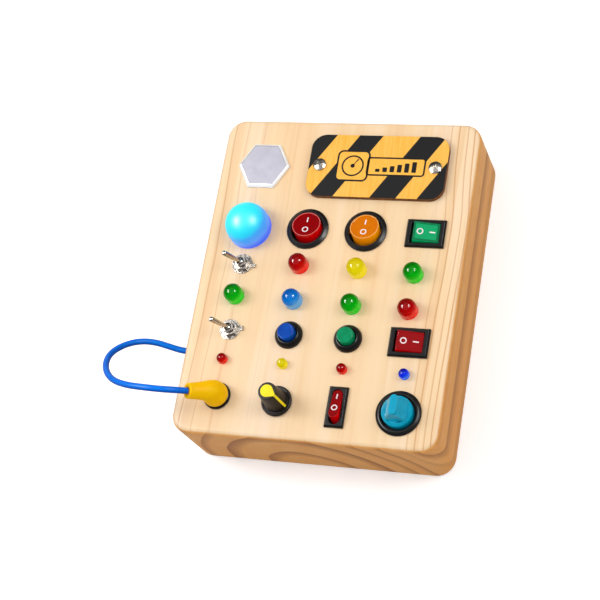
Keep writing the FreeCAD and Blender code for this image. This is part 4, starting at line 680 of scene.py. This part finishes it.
def add_round_trim(name, column, rim_highlight_code):
    """A round rocker's marks, and a pale ring along its rim: a painted highlight of the rim's
    edge.
    """
    pivot, body = (column, UPPER_ROW, PIVOT_HEIGHT), name + "_rocker_body"
    add_marks(name + "_marks", body, pivot, "X", ROUND_TILT, ROUND_TOP - DISH, (0, -3.1),
              (0, 3.2))
    # Painted highlight: a pale ring stands in for the light that the rim's edge catches.
    rim = bmesh.new()
    prism(rim, circle(0, 0, ROUND_RADIUS - 0.12), ROUND_TOP - 0.2,
          ROUND_TOP + ROCKER_MARK_RISE, circle(0, 0, ROUND_RADIUS - 0.50))
    rim.transform(tilt_about(pivot, "X", ROUND_TILT))
    finish_piece(name + "_rim", rim,
                 make_moulded(name + "_rim_highlight", rim_highlight_code, rim_highlight_code, 0.25), body)


def add_green_plate():
    """The green rocker's brighter plate, a little below its rim, with its marks."""
    pivot, body = (COLUMN_FOUR, UPPER_ROW, PIVOT_HEIGHT), "green_flat_rocker_body"
    top = FLAT_TOP - PLATE_DROP
    plate = bmesh.new()
    prism(plate, rounded_rectangle(0, 0, 11.4, 8.2, 0.6), top - DISH, top)
    plate.transform(tilt_about(pivot, "Y", FLAT_TILT))
    finish_piece("green_flat_plate", plate, GREEN_PLATE, body)
    add_marks("green_flat_marks", body, pivot, "Y", FLAT_TILT, top, (-3.2, 0), (3.3, 0), True)


add_round_trim("red_round", COLUMN_TWO, "#e06a62")
add_round_trim("amber_round", COLUMN_THREE, "#f7b45e")
add_green_plate()
add_marks("red_flat_marks", "red_flat_rocker_body", (COLUMN_FOUR, RED_FLAT_ROW, PIVOT_HEIGHT),
          "Y", FLAT_TILT, FLAT_TOP - DISH, (-3.2, 0), (3.3, 0), True)
add_marks("slim_marks", "slim_rocker_body", (COLUMN_THREE, SLIM_ROW, SLIM_PIVOT_HEIGHT),
          "X", SLIM_TILT, SLIM_TOP, (0, -2.6), (0, 4.0), False, 0.95)


# The sign's printed plaque: a dial and a row of rising bars. It carries no words.

SIGN_TOP = 48.0
INK_RISE = 0.04


def add_sign_plaque():
    cx, cy = SIGN_CENTRE
    fill = bmesh.new()
    prism(fill, rounded_rectangle(cx - 13.5, cy, 17.0, 17.0, 2.5), SIGN_TOP - 0.1,
          SIGN_TOP + INK_RISE)
    prism(fill, rounded_rectangle(cx + 10.5, cy, 31.0, 9.6, 1.4), SIGN_TOP - 0.1,
          SIGN_TOP + INK_RISE)
    finish_piece("sign_plaque_fill", fill, INK_YELLOW, "board")
    lines = bmesh.new()
    low, high = SIGN_TOP, SIGN_TOP + 2 * INK_RISE
    prism(lines, rounded_rectangle(cx - 13.5, cy, 18.4, 18.4, 3.2), low, high,
          rounded_rectangle(cx - 13.5, cy, 16.4, 16.4, 2.2))
    prism(lines, rounded_rectangle(cx + 10.5, cy, 32.4, 11.0, 2.0), low, high,
          rounded_rectangle(cx + 10.5, cy, 30.6, 9.2, 1.1))
    prism(lines, circle(cx - 13.5, cy, 6.2), low, high, circle(cx - 13.5, cy, 5.3))
    prism(lines, circle(cx - 13.5, cy, 1.2), low, high)
    prism(lines, [(cx - 13.9, cy - 0.4), (cx - 13.1, cy + 0.3), (cx - 10.4, cy + 3.9),
                  (cx - 11.0, cy + 4.2)], low, high)
    for step in range(6):
        height = 1.8 + 0.9 * step
        prism(lines, rounded_rectangle(cx + 0.6 + 4.0 * step, cy - 3.2 + height / 2, 2.5,
                                       height, 0.4), low, high)
    finish_piece("sign_plaque_lines", lines, INK, "board")


add_sign_plaque()


# The plug's sleeve and the cord.

CORD_ROUTE = [
    (-58.4, -73.7, 62.0),
    (-63.2, -75.6, 68.0),
    (-70.9, -76.7, 71.5),
    (-79.9, -76.4, 71.5),
    (-90.2, -75.2, 69.0),
    (-101.4, -71.3, 63.5),
    (-110.7, -62.7, 55.0),
    (-114.9, -52.1, 45.5),
    (-112.4, -44.0, 37.5),
    (-106.1, -38.7, 31.5),
    (-98.6, -37.0, 27.0),
    (-91.0, -37.9, 23.9),
    (-82.5, -39.5, 22.0),
    (-74.5, -39.5, 22.0),
]
CORD_RADIUS = 1.7
SOCKET = (-48.4, -70.2)


def route_line(points, steps=12):
    """Points along a NURBS curve through a cord's control points, in metres."""
    data = bpy.data.curves.new("cord_route", "CURVE")
    data.dimensions = "3D"
    data.resolution_u = steps
    spline = data.splines.new("NURBS")
    spline.points.add(len(points) - 1)
    for point, place in zip(spline.points, points):
        point.co = (*(Vector(place) * MM), 1.0)
    spline.order_u = 3
    spline.use_endpoint_u = True
    carrier = bpy.data.objects.new("cord_route", data)
    scene.collection.objects.link(carrier)
    mesh = bpy.data.meshes.new_from_object(carrier)
    line = [vertex.co.copy() for vertex in mesh.vertices]
    bpy.data.objects.remove(carrier)
    bpy.data.meshes.remove(mesh)
    return line


def sweep(shape, line, radii, steps=24, close_ends=True):
    """A tube along a line, with a radius in metres at each of its points."""
    count = len(line)
    side = None
    rings = []
    for i, spot in enumerate(line):
        heading = (line[min(i + 1, count - 1)] - line[max(i - 1, 0)]).normalized()
        if side is None:
            side = heading.orthogonal().normalized()
        side = (side - heading * side.dot(heading)).normalized()
        over = heading.cross(side)
        ring = []
        for step in range(steps):
            turn = 2 * math.pi * step / steps
            ring.append(shape.verts.new(spot + (side * math.cos(turn) + over * math.sin(turn))
                                        * radii[i]))
        rings.append(ring)
    for one, other in zip(rings, rings[1:]):
        for step in range(steps):
            after = (step + 1) % steps
            shape.faces.new((one[step], one[after], other[after], other[step]))
    if close_ends:
        shape.faces.new(rings[0][::-1])
        shape.faces.new(rings[-1])
    return rings


def add_sleeve():
    """A moulded sleeve that stands on the socket and leans over, its end hollow."""
    foot = Vector((SOCKET[0], SOCKET[1], FACE + 2.1)) * MM
    neck = foot + Vector((0, 0, 2.4 * MM))
    end = Vector(CORD_ROUTE[0]) * MM
    out = (Vector(CORD_ROUTE[1]) - Vector(CORD_ROUTE[0])).normalized()
    length = (end - neck).length
    stations = [(foot, 6.3), (foot + Vector((0, 0, 0.15 * MM)), 6.65),
                (foot + Vector((0, 0, 0.6 * MM)), 6.8), (neck, 6.8)]
    profile = [(0.08, 6.72), (0.16, 6.45), (0.26, 6.0), (0.38, 5.5), (0.5, 5.05),
               (0.62, 4.7), (0.74, 4.45), (0.86, 4.28), (0.95, 4.2)]
    points = [neck, neck + Vector((0, 0, length * 0.4)), end - out * length * 0.4, end]
    for share, radius in profile:
        weights = [(1 - share) ** 3, 3 * share * (1 - share) ** 2,
                   3 * share ** 2 * (1 - share), share ** 3]
        spot = Vector()
        for point, weight in zip(points, weights):
            spot += point * weight
        stations.append((spot, radius))
    # The lip turns in to a round hollow, in which the cord disappears.
    for back, radius in ((0.25, 4.15), (0.0, 3.85), (0.0, 2.45), (0.3, 2.15), (2.5, 2.1)):
        stations.append((end - out * back * MM, radius))
    line = [spot for spot, radius in stations]
    shape = bmesh.new()
    steps = 64
    rings = []
    side = Vector((1, 0, 0))
    heading = Vector((0, 0, 1))
    for i, (spot, radius) in enumerate(stations):
        if 3 < i < 4 + len(profile):
            heading = (line[i + 1] - line[i - 1]).normalized()
        elif i >= 4 + len(profile):
            heading = out
        side = (side - heading * side.dot(heading)).normalized()
        over = heading.cross(side)
        rings.append([shape.verts.new(spot + (side * math.cos(2 * math.pi * step / steps)
                                              + over * math.sin(2 * math.pi * step / steps))
                                      * radius * MM) for step in range(steps)])
    for one, other in zip(rings, rings[1:]):
        for step in range(steps):
            after = (step + 1) % steps
            shape.faces.new((one[step], one[after], other[after], other[step]))
    shape.faces.new(rings[0][::-1])
    shape.faces.new(rings[-1])
    sleeve = finish_piece("plug_sleeve_moulded", shape, SLEEVE, "plug", 50)
    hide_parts("plug_sleeve")
    return sleeve


def add_cord(sleeve):
    line = route_line(CORD_ROUTE)
    shape = bmesh.new()
    sweep(shape, line, [CORD_RADIUS * MM] * len(line))
    cord = finish_piece("cord_blue", shape, CORD, None, 60)
    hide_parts("cord")
    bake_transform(cord)


add_cord(add_sleeve())


# The buttons' springs, which the caps squash against the board as they go down, are copied
# here as steel coils that ride on no body.

def add_spring(node):
    shape = bmesh.new()
    shape.from_mesh(NODES[node].data)
    spring = finish_piece(node + "_coil", shape, STEEL, None)
    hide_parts(node)
    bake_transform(spring)


add_spring("blue_button_spring")
add_spring("green_button_spring")


# Sharp CAD edges that catch the light are rounded.

for node_name, edge in (("mirror", 0.7), ("sign_plate", 0.2),
                        ("red_round_body", 0.35), ("amber_round_body", 0.35),
                        ("green_flat_body", 0.3), ("red_flat_body", 0.3), ("slim_body", 0.3),
                        ("rotary_body", 0.35), ("red_round_rocker", 0.3),
                        ("amber_round_rocker", 0.3), ("green_flat_rocker", 0.3),
                        ("red_flat_rocker", 0.3), ("slim_rocker", 0.5),
                        ("blue_button_body", 0.3), ("green_button_body", 0.3),
                        ("blue_button_cap", 0.25), ("green_button_cap", 0.25),
                        ("rotary_knob", 0.35), ("pot_knob", 0.25), ("pot_knob_cap", 0.15),
                        ("jack_socket", 0.3), ("toggle_nuts", 0.15),
                        ("toggle_tab_washers", 0.1), ("battery_door", 0.2)):
    softened(node_name, edge)


# The plain studio.

def add_floor():
    """A pale sweep: white to the camera, greyer to the board's walls."""
    material, tree, shader = new_material("studio_floor", "#fafafa", 0.9)
    place, parts = place_in_mm(tree)
    paths = add_node(tree, "LightPath").outputs
    seen = math_node(tree, "MAXIMUM", paths["Is Camera Ray"], paths["Is Transmission Ray"])
    pale = ramp(tree, noise(tree, place, 0.01), [(0.3, "#f8f8f8"), (0.7, "#fcfcfc")])
    colour(tree, shader, mix_colour(tree, seen, "#c4c4c4", pale))
    shader.inputs["Emission Color"].default_value = (1, 1, 1, 1)
    tree.links.new(math_node(tree, "MULTIPLY", seen, 0.28), shader.inputs["Emission Strength"])
    shape = bmesh.new()
    prism(shape, [(-3000, -3000), (3000, -3000), (3000, 3000), (-3000, 3000)], -20, -0.05)
    mesh = bpy.data.meshes.new("studio_floor")
    shape.to_mesh(mesh)
    shape.free()
    mesh.materials.append(material)
    floor = bpy.data.objects.new("studio_floor", mesh)
    scene.collection.objects.link(floor)


def add_world():
    """A white surround for the camera, and a soft grey room for light and reflections."""
    world = bpy.data.worlds.new("studio")
    scene.world = world
    world.use_nodes = True
    tree = world.node_tree
    sky = tree.nodes["Background"]
    paths = add_node(tree, "LightPath").outputs
    up = add_node(tree, "SeparateXYZ", {0: add_node(tree, "TexCoord").outputs["Generated"]})
    room = ramp(tree, up.outputs[2], [(0.0, "#505052"), (0.62, "#6c6c70"), (0.80, "#d8d8de"),
                                      (1.0, "#dcdce2")])
    soft = ramp(tree, up.outputs[2], [(0.0, "#c8c6c4"), (1.0, "#dcdce0")])
    light = mix_colour(tree, paths["Is Diffuse Ray"], room, soft)
    tree.links.new(mix_colour(tree, paths["Is Camera Ray"], light, "#ffffff"),
                   sky.inputs["Color"])


add_camera()
add_floor()
add_world()
add_softbox("left_softbox", (-571, 20, 688), (300, 560), 2.8)
add_softbox("right_softbox", (549, 126, 702), (300, 560), 1.8)
add_softbox("left_glint", (-560, -60, 678), (520, 170), 12.0, only_glints=True)
add_softbox("right_glint", (540, 124, 690), (460, 130), 8.0, only_glints=True)
scene.view_settings.view_transform = "Standard"
